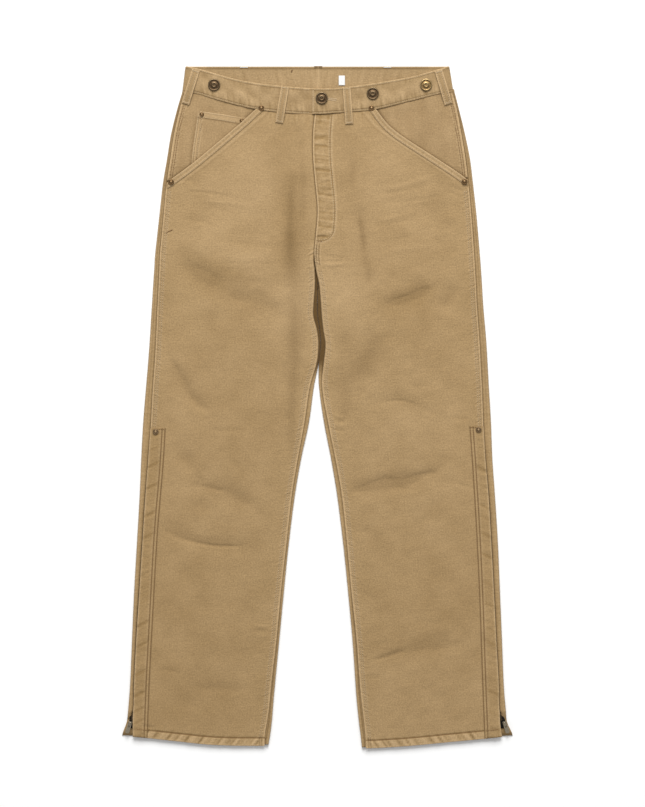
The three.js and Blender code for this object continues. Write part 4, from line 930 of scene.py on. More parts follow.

# Soft bands of painted shade down the fronts, where folds run with the light: their depth is how much shade
# is painted.
PAINTED_SHADE_BANDS = named_rows(
    Fold,
    (-40, 362, -45, 250, 0, 6, 0.20), (-46, 285, -42, 190, 0, 11, 0.22),
    (-40, 190, -36, 60, 0, 10, 0.16), (-34, 90, -40, -85, -3, 8, 0.16),
    (-23, 391, -23, 296, 0, 5, 0.12), (66, 306, 76, 236, 0, 4, 0.24),
    (76, 240, 84, 192, 0, 7, 0.16), (55, 391, 55, 348, 0, 6, 0.12), (96, 122, 46, 30, 6, 17, 0.17),
    (45, 36, 42, -22, 0, 9, 0.12), (-2, 269.5, 13.5, 270.5, 1.5, 1.6, 0.5),
    (-3, 262, -6, 230, 2, 1.6, 0.3),
)


def front_wear_and_shade(side, x, y, to_in, to_out, above_hem):
    """Where a front has faded, and where it is painted darker: painted shade in fold troughs and bands,
    beside the gap, under laps and edges, and darker stitch lines.
    """
    fade = 0.34 + sum(
        patch.amount * hump(x, patch.x, patch.wide) * hump(y, patch.y, patch.tall) for patch in FADE_AND_SHADE_PATCHES
    )
    relief = front_sewing(side, x, y)
    ropes = hem_ropes(side, x * side.sign, above_hem)
    fade = fade + 0.6 * np.clip(relief, -0.5, 0.7)
    fade = fade + 0.5 * hump(above_hem, 0, 1.6) + 0.3 * ropes
    folds = fold_total(x, y, LARGE_FOLDS) + fold_total(x, y, FINE_FOLDS)
    # Painted shade in the folds' troughs and along the bands where folds run with the light.
    soil = 0.085 * np.clip(-folds, 0, 2.4) + fold_total(x, y, PAINTED_SHADE_BANDS)
    fade = fade + 0.2 * np.clip(folds, 0, 1)
    soil = soil + 0.35 * np.clip(-1.5 * ropes - 0.3, 0, 1)
    sewn, leg = out_seam_share(y), below_crotch(y)
    fade = fade + 0.6 * sewn * hump(to_out, 0.9, 1.1)
    soil = soil + 0.3 * sewn * hump(to_out, 2.9, 0.9)
    for place in SEAM_LINES:
        soil = soil + 0.36 * (leg * hump(to_in, place, 0.9) + sewn * hump(to_out, place, 0.9))
    past_edge = slant_at(side, y) - x * side.sign
    fade = fade + 0.28 * hump(past_edge, 20.5, 2.6)
    soil = soil + 0.14 * hump(past_edge, 26.0, 2.6)
    rise = smooth(y, CROTCH_Y, CROTCH_Y + 14)
    if side.sign > 0:
        fade = fade + 0.95 * rise * hump(to_in, 0.6, 1.3)
        past = past_fly(to_in, y)
        on_fly = (1 - smooth(past, -1, 1)) * smooth(to_in, 1, 4)
        fade = fade + on_fly * (0.5 * np.clip(relief - 0.3, -0.5, 0.6) - 0.16)
        fade = fade + humps(past, (1.4, 1.3, 0.5), (-3.4, 1.2, 0.3))
        soil = soil + 0.2 * hump(past, -1.2, 1.1)
        strip = inside(y, CROTCH_Y + 6, FLY_STITCH_FOOT_Y - 3, 3)
        soil = soil + strip * humps(to_in, (CROTCH_WIDTH + 0.6, 1.1, 0.6), (3.1, 0.8, 0.4))
        fade = fade + strip * humps(to_in, (1.6, 0.9, 0.35), (5.2, 0.9, 0.35), (9.0, 1.2, 0.35))
        soil = soil + 0.22 * rise * hump(to_in, 3.4, 1.2)
    else:
        # Painted shade on the under front's edge, beneath the fly's lap.
        soil = soil + 1.0 * rise * (1 - smooth(to_in, -0.5, 2.6))
    fade = fade + 0.5 * (1 - rise) * hump(to_in, 0.9, 1.1)
    # Painted shade along the inner edges where they drop into the gap between the thighs.
    gap = smooth(y, 40, 90) * (1 - smooth(y, 228, 246))
    soil = soil + 1.1 * gap * hump(to_in, -1.0, 2.1)
    # Painted shadow under the waistband's lower edge, and painted shade in the groove along the hem's top.
    soil = soil + 0.4 * hump(band_low(x) - y, 0, 2.5)
    soil = soil + 0.6 * hump(above_hem, HEM_DEPTH + 0.6, 1.3)
    return fade, soil


TOP_TURNS = (2.0, 1.8, 1.6, 1.4, 1.2)
ROUND_TURNS = (1.0, 0.88, 0.76, 0.64, 0.5, 0.36, 0.24, 0.12, 0.0)
BACK_MIDDLE = 26
BACK_ROW_STEP = 1.8


def rolled_edge(edge, seam, turn, height, seam_z, roll, inward, along, seed):
    """Outer and inner points of a back where it folds over at an edge, then lies towards the seam."""
    radius = height / 2
    angle = math.pi * np.minimum(turn, 1)
    spread = np.clip(turn - 1, 0, 1)
    centre = edge + inward * radius
    flat = edge + inward * (radius + 2) * (1 - turn / 2)
    puckers = 0.14 * wobble(along, 7.5, seed) * spread
    pair = []
    for lift, wall in ((0.0, 0.0), (CANVAS, CANVAS)):
        r = radius - wall
        x = mix(centre - inward * r * np.sin(angle), seam, spread)
        round_z = radius - r * np.cos(angle)
        z = mix(round_z, seam_z - lift, spread) + puckers
        pair.append([mix(flat, x, roll), mix(wall, z, roll)])
    slack = (inward * (pair[0][0] - edge)).min(axis=1, keepdims=True)
    for part in pair:
        part[0] = part[0] - inward * slack
    return pair


def build_back(side):
    """One back: flat on the surface, up round both edges, its allowances running in under the front."""
    rows = np.concatenate([np.arange(0.0, 12.0, 2.0), np.arange(12.0, 1018.0, BACK_ROW_STEP), (1018.6,)])
    base = (FOOT_Y + 2 + rows)[:, None]
    height = seam_height(base)
    gap = smooth(base, -20, 40) * (1 - smooth(base, 190, 225))
    out_roll = smooth(base, -497, -478)
    in_roll = 1 - smooth(base, CROTCH_Y - 47, CROTCH_Y - 19)
    inner_height = mix(height, FOLD_EDGE_HEIGHT, gap)
    out = spline(side.leg, "edge_out", base)
    seam_out = np.minimum(spline(side.leg, "seam_out", base), out - height / 2)
    inner = spline(side.leg, "edge_in", base) + CENTRE_GAP / 2
    seam_in = np.maximum(spline(side.leg, "seam_in", base) - 0.3, inner + inner_height / 2 + 0.1)
    in_top = mix(inner_height, top_height(side, (seam_in + 1) * side.sign, base), 0.8)
    turns = np.array(TOP_TURNS + ROUND_TURNS)[None, :]
    out_pair = rolled_edge(out, seam_out, turns, height, height + 0.1, out_roll, -1, base, 71)
    in_pair = rolled_edge(inner, seam_in, turns[:, ::-1], inner_height, in_top, in_roll, 1, base, 72)
    start, end = out - height / 2, inner + inner_height / 2
    middle = mix(start, end, np.linspace(0, 1, BACK_MIDDLE + 2)[None, 1:-1])
    under_steps = np.array((SEAM_UNDERLAP, 3.0, 0.7))
    layers = []
    for k, wall in enumerate((0.0, CANVAS)):
        (ox, oz), (ix, iz) = out_pair[k], in_pair[k]
        out_under_x = mix(ox[:, :1], seam_out - under_steps, out_roll)
        out_under_z = mix(oz[:, :1], height - CANVAS - 0.5 - wall, out_roll) - 0.3 * out_roll
        in_under_x = mix(ix[:, -1:], seam_in + under_steps[::-1], in_roll)
        in_under_z = mix(iz[:, -1:], in_top - CANVAS - 0.5 - wall, in_roll) - 0.3 * in_roll
        places = (out_under_x, ox, middle, ix, in_under_x)
        heights = (out_under_z, oz, wall, iz, in_under_z)
        spread = [np.broadcast_to(height, place.shape) for height, place in zip(heights, places)]
        layers.append((np.concatenate(places, 1), np.concatenate(spread, 1)))
    columns = layers[0][0].shape[1]
    near_out = np.zeros(columns)
    near_out[: len(under_steps) + len(TOP_TURNS)] = 1
    near_out[len(under_steps) + len(TOP_TURNS) : len(under_steps) + turns.size] = ROUND_TURNS
    side_top = band_low(BAND_SIDE_LOW_X * side.sign) + 3
    top_y = mix(BACK_BAND_LOW_Y + 4, side_top, near_out)[None, :]
    rise = base - (FOOT_Y + 2)
    grids = []
    for distance, z in layers:
        hem = hem_at(side, np.minimum(distance, 290.0)) + 2
        foot = (hem - (FOOT_Y + 2)) * (1 - smooth(rise, 60, 260))
        last = FOOT_Y + 2 + rows[-1]
        waist = (top_y - last) * smooth(base, 380, last)
        grids.append(np.stack([distance * side.sign, base + foot + waist, z], -1))
    outer, inner_grid = grids
    creases = back_creases(side, outer[..., 0], outer[..., 1])
    outer[..., 2] += creases * (outer[..., 2] < 0.05)
    inner_grid[..., 2] += creases * (inner_grid[..., 2] < CANVAS + 0.05)
    fade, soil = back_wear_and_shade(side, outer, out, inner, seam_out, seam_in)
    steps = np.linalg.norm(np.diff(outer, axis=1), axis=2)
    around = np.concatenate([np.zeros((len(rows), 1)), np.cumsum(steps, 1)], 1)
    along = np.stack([around, outer[..., 1] + 900], -1)
    name = "back_" + side.name
    to_gap = inner_grid[..., 0] * side.sign - inner
    # The inner face is painted dark as shade where the gap shows it.
    shade_and_soil_within = 1.4 * gap_share(inner_grid[..., 1]) * hump(to_gap, 0, 16)
    within = (0 * shade_and_soil_within + 0.2, shade_and_soil_within)
    piece = cloth_piece(name, outer, inner_grid, "canvas", along, fade, soil, within=within)
    cut_sheet(piece, name)


BACK_FOLDS = named_rows(
    Fold,
    (-220, 190, -70, 160, 8, 12, 0.8), (-210, -120, -90, -150, -10, 10, 0.7),
    (-230, -60, -130, -30, 6, 9, 0.5), (-150, 330, -60, 260, 10, 13, 0.6),
    (60, 200, 210, 230, -8, 12, 0.8), (80, -140, 220, -110, 9, 11, 0.7),
    (110, -60, 230, -75, -6, 9, 0.5), (50, 270, 160, 350, 9, 13, 0.6),
    (-240, -380, -120, -395, 5, 10, 0.4), (120, -330, 240, -350, -6, 10, 0.4),
)


def back_creases(side, x, y):
    """Soft troughs pressed up into the flat underside."""
    distance = x * side.sign
    to_out, to_in = spline(side.leg, "edge_out", y) - distance, distance - spline(side.leg, "edge_in", y)
    away = np.minimum(to_out, to_in)
    return fold_total(x, y, BACK_FOLDS) * smooth(away, 6, 30)


def gap_share(y):
    """1 where the gap between the thighs shows the backs, which are painted dark there as shade from lying
    deep.
    """
    return smooth(y, 40, 90) * (1 - smooth(y, 240, 256))


def back_wear_and_shade(side, outer, out, inner, seam_out, seam_in):
    """Where a back has faded: its rolled edges, more than its flat; and painted shade along the seams under
    the fronts' edges, at the outer edge and the roll's fold, and deep in the gap between the thighs.
    """
    distance = outer[..., 0] * side.sign
    z, y = outer[..., 2], outer[..., 1]
    on_top = smooth(z, 1.5, 3.5)
    crest = hump(distance, mix(out, seam_out, 0.3), 2.2) + hump(distance, mix(inner, seam_in, 0.3), 2.0)
    fade = 0.26 + 0.22 * on_top * crest + 0.1 * wobble(y, 7.5, 73) * on_top
    to_seam = np.minimum(np.abs(seam_out - distance), np.abs(distance - seam_in))
    soil = 0.5 * on_top * hump(to_seam, 0, 1.6)
    # Painted shade deep in the gap between the thighs.
    soil = soil + 1.3 * gap_share(y) * smooth(z, 0.5, 1.6) * hump(distance, inner, 16)
    soil = soil + 0.2 * on_top * hump(out - distance, 0, 1.0)
    fold = mix(seam_out, out, 0.52)
    soil = soil + 0.5 * on_top * hump(distance, fold, 0.8) * smooth(y, -60, 20)
    fade = fade + 0.3 * on_top * hump(distance, fold - 1.7, 0.8) * smooth(y, -60, 20)
    return fade, np.clip(soil, 0, 1)


def band_level(x, under):
    """How far the waistband stands over its usual height at the lapped tab, or under it below the tab."""
    drop = UNDERLAP_DROP * smooth(x, -34, -20)
    if under:
        return -drop
    lapped = smooth(x, BAND_TAB_X - 1, BAND_TAB_X + 0.5)
    return TAB_LIFT * (1 - smooth(x, 28, 41)) * lapped - drop * (1 - lapped)


def band_relief(x, y):
    """The waistband's puff, stitch grooves and puckers."""
    low, top = band_low(x), band_top(x)
    v = (y - low) / np.maximum(top - low, 1)
    stitched = 0.3 * hump(y, low + BAND_LINE, 0.8) + 0.3 * hump(y, top - BAND_LINE, 0.8)
    puff = 0.25 * np.sin(math.pi * np.clip(v, 0, 1))
    waves = wobble(x + 0.15 * y, 8.0, 81) * hump(v, 0.12, 0.25)
    waves = waves + 0.6 * wobble(x, 9.0, 82) * hump(v, 0.92, 0.15)
    return puff - stitched + 0.42 * waves + 0.3 * drift(x, y, 24, 83)


def band_surface(x, y, under=False):
    """Upper surface of the waistband's front."""
    return BAND_Z + BAND_WALL + band_level(x, under) + band_relief(x, y)


def band_rows():
    """Places across the height of the waistband, close together at its edges and stitch lines."""
    near = np.array((0.0, 0.012, 0.03, 0.048, 0.066, 0.09, 0.13))
    return np.concatenate([near, np.linspace(0.2, 0.8, 9), 1 - near[::-1]])


def build_waistband(side):
    """One half of the waistband: along the front, round the side, and back to the centre behind."""
    end_x = -BAND_UNDERLAP_X if side.sign < 0 else BAND_TAB_X
    front = np.concatenate([end_x + np.array((0.0, 0.5, 1.2, 2.2)), np.arange(end_x + 4, 198.0, 2.0)])
    arc = np.linspace(0, 1, 15)
    centre = CENTRE_X * side.sign
    behind = np.concatenate([np.linspace(190.0, centre + 1.2, 62), centre + np.array((0.7, 0.3, 0.1, 0.03))])
    v = band_rows()[:, None]
    top_z = BAND_Z + BAND_WALL
    x = front * side.sign
    y = mix(band_low(x), band_top(x), v)
    z = band_surface(x, y, side.sign < 0)
    to_edge = np.minimum(v, 1 - v) * BAND_HEIGHT
    fall = edge_fall(np.minimum(to_edge, front - end_x), BAND_WALL / 2)
    outer, inner = [grid_points(x, y, z - fall)], [grid_points(x, y, z - BAND_WALL + fall)]
    side_x = mix(BAND_SIDE_LOW_X, BAND_SIDE_TOP_X, v) - (0.6 if side.sign < 0 else -0.6) * (1 - v)
    side_low = band_low(BAND_SIDE_LOW_X * side.sign)
    radius = (top_z - BACK_BAND_Z) / 2
    arc_y = mix(mix(side_low, BACK_BAND_LOW_Y, arc), WAIST_Y, v)
    arc_fall = edge_fall(to_edge, BAND_WALL / 2)
    for layer, depth in ((outer, 0.0), (inner, 1.0)):
        wall = mix(BAND_WALL, BACK_BAND_WALL, arc) * depth
        r = radius - wall + arc_fall * (1 - 2 * (1 - depth))
        arc_x = side_x - radius + r * np.sin(math.pi * arc)
        arc_z = BACK_BAND_Z + radius + r * np.cos(math.pi * arc)
        layer.append(grid_points(arc_x * side.sign, arc_y, arc_z))
    ripple = 0.2 * wobble(behind + 9 * v, 11, 85 + side.sign) * np.sin(math.pi * v)
    stitched = 0.25 * (hump(v, 0.07, 0.02) + hump(v, 0.93, 0.02))
    ridge = 0.35 * hump(behind, centre, 1.6)
    flat_x, flat_y = behind * side.sign, mix(BACK_BAND_LOW_Y, WAIST_Y, v)
    inner_z = BACK_BAND_Z + BACK_BAND_WALL - arc_fall + ripple - stitched + ridge
    outer.append(grid_points(flat_x, flat_y, BACK_BAND_Z + arc_fall))
    inner.append(grid_points(flat_x, flat_y, inner_z))
    outer, inner = np.concatenate(outer, 1), np.concatenate(inner, 1)
    rows, columns = outer.shape[:2]
    run = np.concatenate([front, 205 + 10 * arc, 215 + (190 - behind)])[None, :]
    along = np.stack(np.broadcast_arrays(run, BAND_HEIGHT * v + 1500), -1)
    fade = np.full((rows, columns), 0.22)
    fade[:, : len(front)] += 0.8 * band_relief(x, y)
    fade = fade + humps(v, (1, 0.035, 0.75), (0, 0.035, 0.5))
    soil = humps(v, (0.085, 0.022, 0.5), (0.92, 0.02, 0.45)) + 0 * run
    behind_share = smooth(run, 225, 232)
    ripple_share = wobble(run + 9 * v, 13, 87 + side.sign) * np.sin(math.pi * v)
    # Behind, the band's top edge is painted darker as shade under its fold, by the lowered fade here and the
    # added shade two lines below.
    fade = fade + behind_share * (0.18 + 0.16 * ripple_share - 0.4 * hump(v, 1, 0.035))
    fade = fade + 0.5 * hump(run, run[0, -1], 1.6)
    soil = soil + behind_share * humps(v, (0.9, 0.03, 0.4), (1.0, 0.02, 0.5))
    if side.sign > 0:
        fade = fade + 0.4 * hump(run, end_x, 2.0)
    name = "waistband_" + side.name
    piece = cloth_piece(name, outer, inner, "canvas_band", along, fade, soil, 1, (fade, soil))
    cut_sheet(piece, name)


def facing_surface(side, x, y):
    """Upper surface of a hip facing: level with the out seam, sinking under the front's edge."""
    out = spline(side.leg, "front_out", y)
    t = (out - x * side.sign) / np.maximum(out - slant_at(side, y), 12)
    to_out = out - x * side.sign
    near_band = smooth(y, band_low(x) - 22, band_low(x) - 2)
    base = HIP_HEIGHT - 0.2 - FACING_DROP * np.clip(t, 0, 1) * (1 - 0.5 * near_band)
    loose = 0.2 * drift(x, 0.4 * y, 30, 92) + 0.12 * drift(x, y, 13, 93)
    return base + 0.7 * seam_form(to_out, y, 91) * inside(y, 360, 490, 8) + loose


def column_top(distance_at, curve):
    """Height where each column of a hip piece meets the curve that ends it."""
    y = 470.0
    for _ in range(12):
        y = mix(y, curve(distance_at(y)), 0.7)
    return y


def build_hip_facing(side):
    """The facing behind a slant pocket."""
    across = np.concatenate([np.array(NEAR_STEPS[:-1]) / 75, np.linspace(0.19, 1, 26)])
    foot = side.slant["y"][0] + 5

    def distance_at(y):
        out = spline(side.leg, "front_out", y) - 0.4
        return mix(out, np.minimum(slant_at(side, y) - POCKET_UNDERLAP, out - 10), across)

    top = column_top(distance_at, lambda d: band_low(d * side.sign) + 5)
    t = np.linspace(0, 1, 64)[:, None]
    y = mix(foot, top, t)
    distance = distance_at(y)
    x = distance * side.sign
    z = facing_surface(side, x, y) - 1.4 * smooth(y - band_low(x), -0.4, 2)
    to_out = spline(side.leg, "front_out", y) - distance
    fade = 0.32 + 0.8 * seam_form(to_out, y, 91) * inside(y, 360, 490, 8) + 0.5 * hump(to_out, 0.9, 1.1)
    fade = fade + 0.1 * drift(x, 0.4 * y, 30, 92)
    # Painted shade under the slant pocket's edge and under the waistband, with darker stitch lines.
    soil = 0.6 * hump(distance - slant_at(side, y), 0, 4.5) + 0.2 * hump(band_low(x) - y, 0, 2.5)
    for place in SEAM_LINES:
        soil = soil + 0.4 * hump(to_out, place, 1.0)
    if side.sign < 0:
        # Painted shade beside the watch pocket's edge.
        soil = soil + 0.3 * hump(distance - spline(WATCH_LEFT, "x", y), 1.0, 2.6) * (1 - smooth(y, 458, 464))
    along = np.stack([distance, y + 300], -1)
    name = "hip_facing_" + side.name
    piece = laid_cloth(name, x, y, z, FACING_WALL, to_out, "canvas_facing", along, fade, soil)
    cut_sheet(piece, name)


WATCH_LIFT = 1.3


def watch_surface(x, y):
    """Upper surface of the watch pocket, with its hem and side stitching."""
    distance = -x
    to_top = spline(WATCH_TOP, "y", distance, key="x") - y
    to_left = spline(WATCH_LEFT, "x", y) - distance
    grooves = sum(hump(to_top, line, 0.7) for line in WATCH_HEM_LINES)
    grooves = grooves + sum(hump(to_left, line, 0.6) for line in WATCH_SIDE_LINES)
    puckers = wobble(distance, 6, 95) * hump(to_top, 5, 5) + wobble(y, 6, 96) * hump(to_left, 4, 4)
    hem = 0.35 * (1 - smooth(to_top, 9.4, 11))
    return facing_surface(RIGHT, x, y) + WATCH_LIFT + hem - 0.35 * grooves + 0.224 * puckers


def build_watch_pocket():
    """The watch pocket on the wearer's right facing, running in under the front."""
    across = np.concatenate([(0.0, 0.005, 0.012, 0.02, 0.03, 0.05, 0.08), np.linspace(0.11, 1, 26)])

    def distance_at(y):
        out = spline(WATCH_LEFT, "x", y)
        return mix(out, np.minimum(slant_at(RIGHT, y) - 6, out - 4), across)

    top = column_top(distance_at, lambda d: spline(WATCH_TOP, "y", d, key="x"))
    t = np.concatenate([np.linspace(0, 0.8, 30), np.linspace(0.82, 0.98, 12), (0.99, 0.995, 1.0)])[:, None]
    y = mix(WATCH_FOOT_Y, top, t)
    distance = distance_at(y)
    x = -distance
    z = watch_surface(x, y)
    to_top = spline(WATCH_TOP, "y", distance, key="x") - y
    to_left = spline(WATCH_LEFT, "x", y) - distance
    edge = np.minimum(np.maximum(to_top, 0), np.maximum(to_left, 0))
    fade = 0.33 + humps(to_top, (0.3, 1.3, 0.9), (5, 2.4, 0.3), (8.0, 1.0, 0.4))
    fade = fade + humps(to_left, (0.3, 1.3, 0.9), (4.4, 1.2, 0.5), (9.4, 1.0, 0.5))
    # Painted shade under the slant pocket's edge and below the hem's fold, with darker stitch lines.
    soil = 0.4 * hump(distance - slant_at(RIGHT, y), 0, 3) + humps(to_left, (7.2, 1.0, 0.4), (2.0, 0.8, 0.4))
    soil = soil + humps(to_top, (10.6, 1.2, 0.5), (2.0, 0.8, 0.35))
    along = np.stack([distance, y + 700], -1)
    wall = WATCH_WALL + 0.4
    piece = laid_cloth("watch_pocket", x, y, z, wall, edge, "canvas_facing", along, fade, soil)
    cut_sheet(piece, "watch_pocket")


def edge_place(side, y, step):
    """A point on a pocket edge strip, a step in from the slanted edge."""
    slope = (slant_at(side, y + 4) - slant_at(side, y - 4)) / 8
    length = np.hypot(1, slope)
    distance = slant_at(side, y) - step / length
    return distance * side.sign, y + slope * step / length


EDGE_LIFT = 0.9


def edge_lift(step, along, seed):
    """Height of a pocket edge strip over the front, across its width."""
    grooves = 0.3 * sum(hump(step, line, 0.7) for line in EDGE_LINES)
    puckers = 0.13 * wobble(along + 0.8 * step, 5.2, seed)
    return EDGE_LIFT + humps(step, (4, 2, 0.12), (6.6, 0.9, 0.2)) - grooves + puckers


def build_pocket_edge(side):
    """The turned and twice stitched strip along a slant pocket's edge."""
    foot = side.slant["y"][0] + 1.0
    base = np.linspace(foot, 473.5, 96)[:, None]
    steps = np.array((-0.4, -0.1, 0.4, 1.1, 1.8, 2.6, 3.6, 4.8, 5.8, 6.6, 7.2, 7.8, 8.4, 9.0, 9.4, 9.6))
    x, y = edge_place(side, base, steps)
    y = np.minimum(y, band_low(x) + 1)
    z = top_height(side, x, y) + edge_lift(steps, base * 1.6, 97 + side.sign)
    z = z - 1.5 * smooth(y - band_low(x), -1, 1)
    edge = np.minimum(steps - steps[0], steps[-1] - steps) + 0 * base
    fade = 0.5 + 0.5 * hump(steps, 0.2, 1.3) + 0.25 * wobble(base * 1.6, 5.2, 98) * hump(steps, 4.4, 3)
    fade = fade + humps(steps, (6.6, 0.9, 0.6), (4.0, 1.6, -0.2))
    # Darker stitch lines, and painted shade along the strip's far edge.
    rows = ((EDGE_LINES[1], 0.6, 0.4), (EDGE_LINES[0], 0.6, 0.3), (steps[-1], 0.6, 0.25))
    soil = humps(steps, *rows) + 0 * base
    along = np.stack([steps + 0 * base, base * 1.6 + 0 * steps], -1)
    name = "pocket_edge_" + side.name
    piece = laid_cloth(name, x, y, z, TRIM_WALL + 0.6, edge, "canvas_band", along, fade, soil)
    cut_sheet(piece, name)


PLACKET_LIFT = 1.35


def placket_out(side, y):
    """Outer edge of an ankle placket, lapping over most of the zip's groove."""
    front = spline(side.leg, "front_out", y)
    return front + np.clip(0.6 * (spline(side.leg, "seam_out", y) - front), 0, 1.8)


def placket_creases(side, x, y):
    """Slanting creases across an ankle placket, 0 to about 1."""
    slanted = wobble(y + 0.5 * side.sign * x, 19, 101 + side.sign)
    strength = mix(0.35, 1.0, 0.5 + 0.5 * wobble(y, 90, 107 + side.sign))
    return np.clip(1.7 * slanted - 0.6, 0, 1) * strength


def placket_surface(side, x, y):
    """Upper surface of an ankle placket: puffed beside its stitch lines, with slanting puckers."""
    distance = x * side.sign
    out = placket_out(side, y)
    inner = spline(side.placket, "x", y)
    t = np.clip((out - distance) / np.maximum(out - inner, 5), 0, 1)
    to_inner = distance - inner
    puff = 0.7 * np.sin(math.pi * np.clip(1.25 * t, 0, 1)) ** 0.8
    puckers = -0.75 * placket_creases(side, x, y) * np.sin(math.pi * np.clip(1.2 * t + 0.05, 0, 1))
    loose = 0.25 * wobble(y + 0.5 * side.sign * x, 10, 105 + side.sign)
    loose = loose + 0.3 * drift(x, y, 11, 109 + side.sign)
    puckers = puckers + loose * smooth(to_inner, 5, 8)
    strength = 0.5 + 0.5 * smooth(wobble(y, 120, 103 + side.sign), -0.6, 0.5)
    grooves = humps(to_inner, (PLACKET_LINES[0], 0.8, 0.5), (PLACKET_LINES[1], 0.9, 0.6))
    hem = 0.3 * inside(y - hem_at(side, distance), -2, HEM_DEPTH, 0.8)
    return top_height(side, x, y) + PLACKET_LIFT + puff + strength * puckers - grooves + hem


def build_placket(side):
    """The placket over an ankle zip."""
    head = side.placket["y"][-1]
    t = np.concatenate([np.linspace(0, 0.98, 230), np.linspace(0.984, 1, 8)])[:, None]
    base = mix(FOOT_Y, head, t)
    out = placket_out(side, base)
    inner = spline(side.placket, "x", base)
    from_in = np.array((0.0, 0.3, 0.8, 1.3, 2.0, 3.0, 4.2, 5.0, 5.6, 6.3, 7.4))
    shares = np.array((0.2, 0.35, 0.5, 0.65, 0.8, 0.9, 0.95, 0.98, 1.0))
    start = inner + from_in[-1]
    distance = np.concatenate([inner + from_in, mix(start, out, shares)], 1)
    foot = (hem_at(side, distance) - FOOT_Y) * (1 - smooth(base, FOOT_Y + 20, -300))
    y = base + foot
    x = distance * side.sign
    z = placket_surface(side, x, y)
    to_out, to_inner = out - distance, distance - inner
    above_hem = y - hem_at(side, distance)
    edge = np.minimum(np.minimum(to_out, to_inner), np.minimum(above_hem, head - base))
    creases = placket_creases(side, x, y) * smooth(to_inner, 5, 9)
    # The slanting creases are painted darker as shade, here and below; the head and the line above the hem
    # are painted shade too.
    fade = (0.19 if side.sign < 0 else 0.26) + 0.7 * hump(to_out, 0.4, 1.5) - 0.3 * creases
    fade = fade + humps(to_inner, (3.4, 1.4, 0.25), (7.6, 1.2, 0.25))
    soil = humps(to_inner, (5.6, 1.0, 0.6), (0.8, 0.9, 0.6)) + 0.4 * hump(head - base, 0, 2)
    soil = soil + 0.18 * creases + 0.3 * hump(above_hem, HEM_DEPTH + 1, 2.0)
    along = np.stack([to_inner, y + 300], -1)
    name = "ankle_placket_" + side.name
    piece = laid_cloth(name, x, y, z, PLACKET_WALL + 0.5, edge, "canvas", along, fade, soil)
    cut_sheet(piece, name)


def loop_bed(side, x, y):
    """Height of what a belt loop lies on."""
    on_band = smooth(y, band_low(x) - 7, band_low(x) - 1)
    return mix(top_height(side, x, y) + 0.2, band_surface(x, y), on_band)


def loop_axes(row):
    """A belt loop's length, and its directions up and across."""
    up = Vector((row.top_x - row.low_x, row.top_y - row.low_y))
    length = up.length
    up.normalize()
    return length, up, Vector((up.y, -up.x))


def loop_surface(row, x, y):
    """Upper surface of a belt loop over the waistband."""
    side = RIGHT if row.top_x < 0 else LEFT
    length, up, right = loop_axes(row)
    t = ((x - row.low_x) * up.x + (y - row.low_y) * up.y) / length
    across = (x - row.low_x) * right.x + (y - row.low_y) * right.y
    bow = 1.3 * np.sin(math.pi * np.clip(t, 0, 1)) ** 0.8
    grooves = 0.28 * (hump(across, -LOOP_LINE, 0.7) + hump(across, LOOP_LINE, 0.7))
    lip = 0.25 * smooth(np.abs(across), 4.2, 5.6)
    bed = np.maximum(loop_bed(side, x, y), loop_bed(side, x, y + 5))
    return bed + LOOP_GAP + LOOP_WALL + bow - grooves + lip + 0.08 * wobble(t * length, 6, 111)


def build_belt_loop(row):
    """A belt loop over the front of the waistband."""
    length, up, right = loop_axes(row)
    t = np.concatenate([(0.0, 0.006, 0.015, 0.03), np.linspace(0.06, 0.94, 34), (0.97, 0.985, 0.994, 1.0)])
    half = LOOP_WIDTH / 2
    shares = np.array((0.2, 0.4, 0.5, 0.6, 0.76, 0.88, 0.96, 1))
    across = half * np.concatenate([-shares[::-1], [0], shares])
    run = t[:, None] * length
    x = row.low_x + up.x * run + right.x * across
    y = row.low_y + up.y * run + right.y * across
    z = loop_surface(row, x, y)
    edge = np.minimum(half - np.abs(across), np.minimum(run, length - run))
    fade = 0.38 + 0.85 * smooth(np.abs(across), 4.0, 5.2) - 0.15 * hump(across, 0, 1.8) + 0 * run
    fade = fade + humps(run, (0.2, 1.0, 0.5), (length, 1.2, 0.5))
    soil = humps(run, (3.8, 1.0, 0.3), (length - 3, 1.6, 0.2)) + 0 * across
    soil = soil + 0.3 * hump(np.abs(across), LOOP_LINE, 0.8)
    along = np.stack([across + 0 * run, run + 0 * across], -1)
    piece = laid_cloth(row.name, x, y, z, LOOP_WALL + 0.2, edge, "canvas_band", along, fade, soil)
    cut_sheet(piece, row.name)


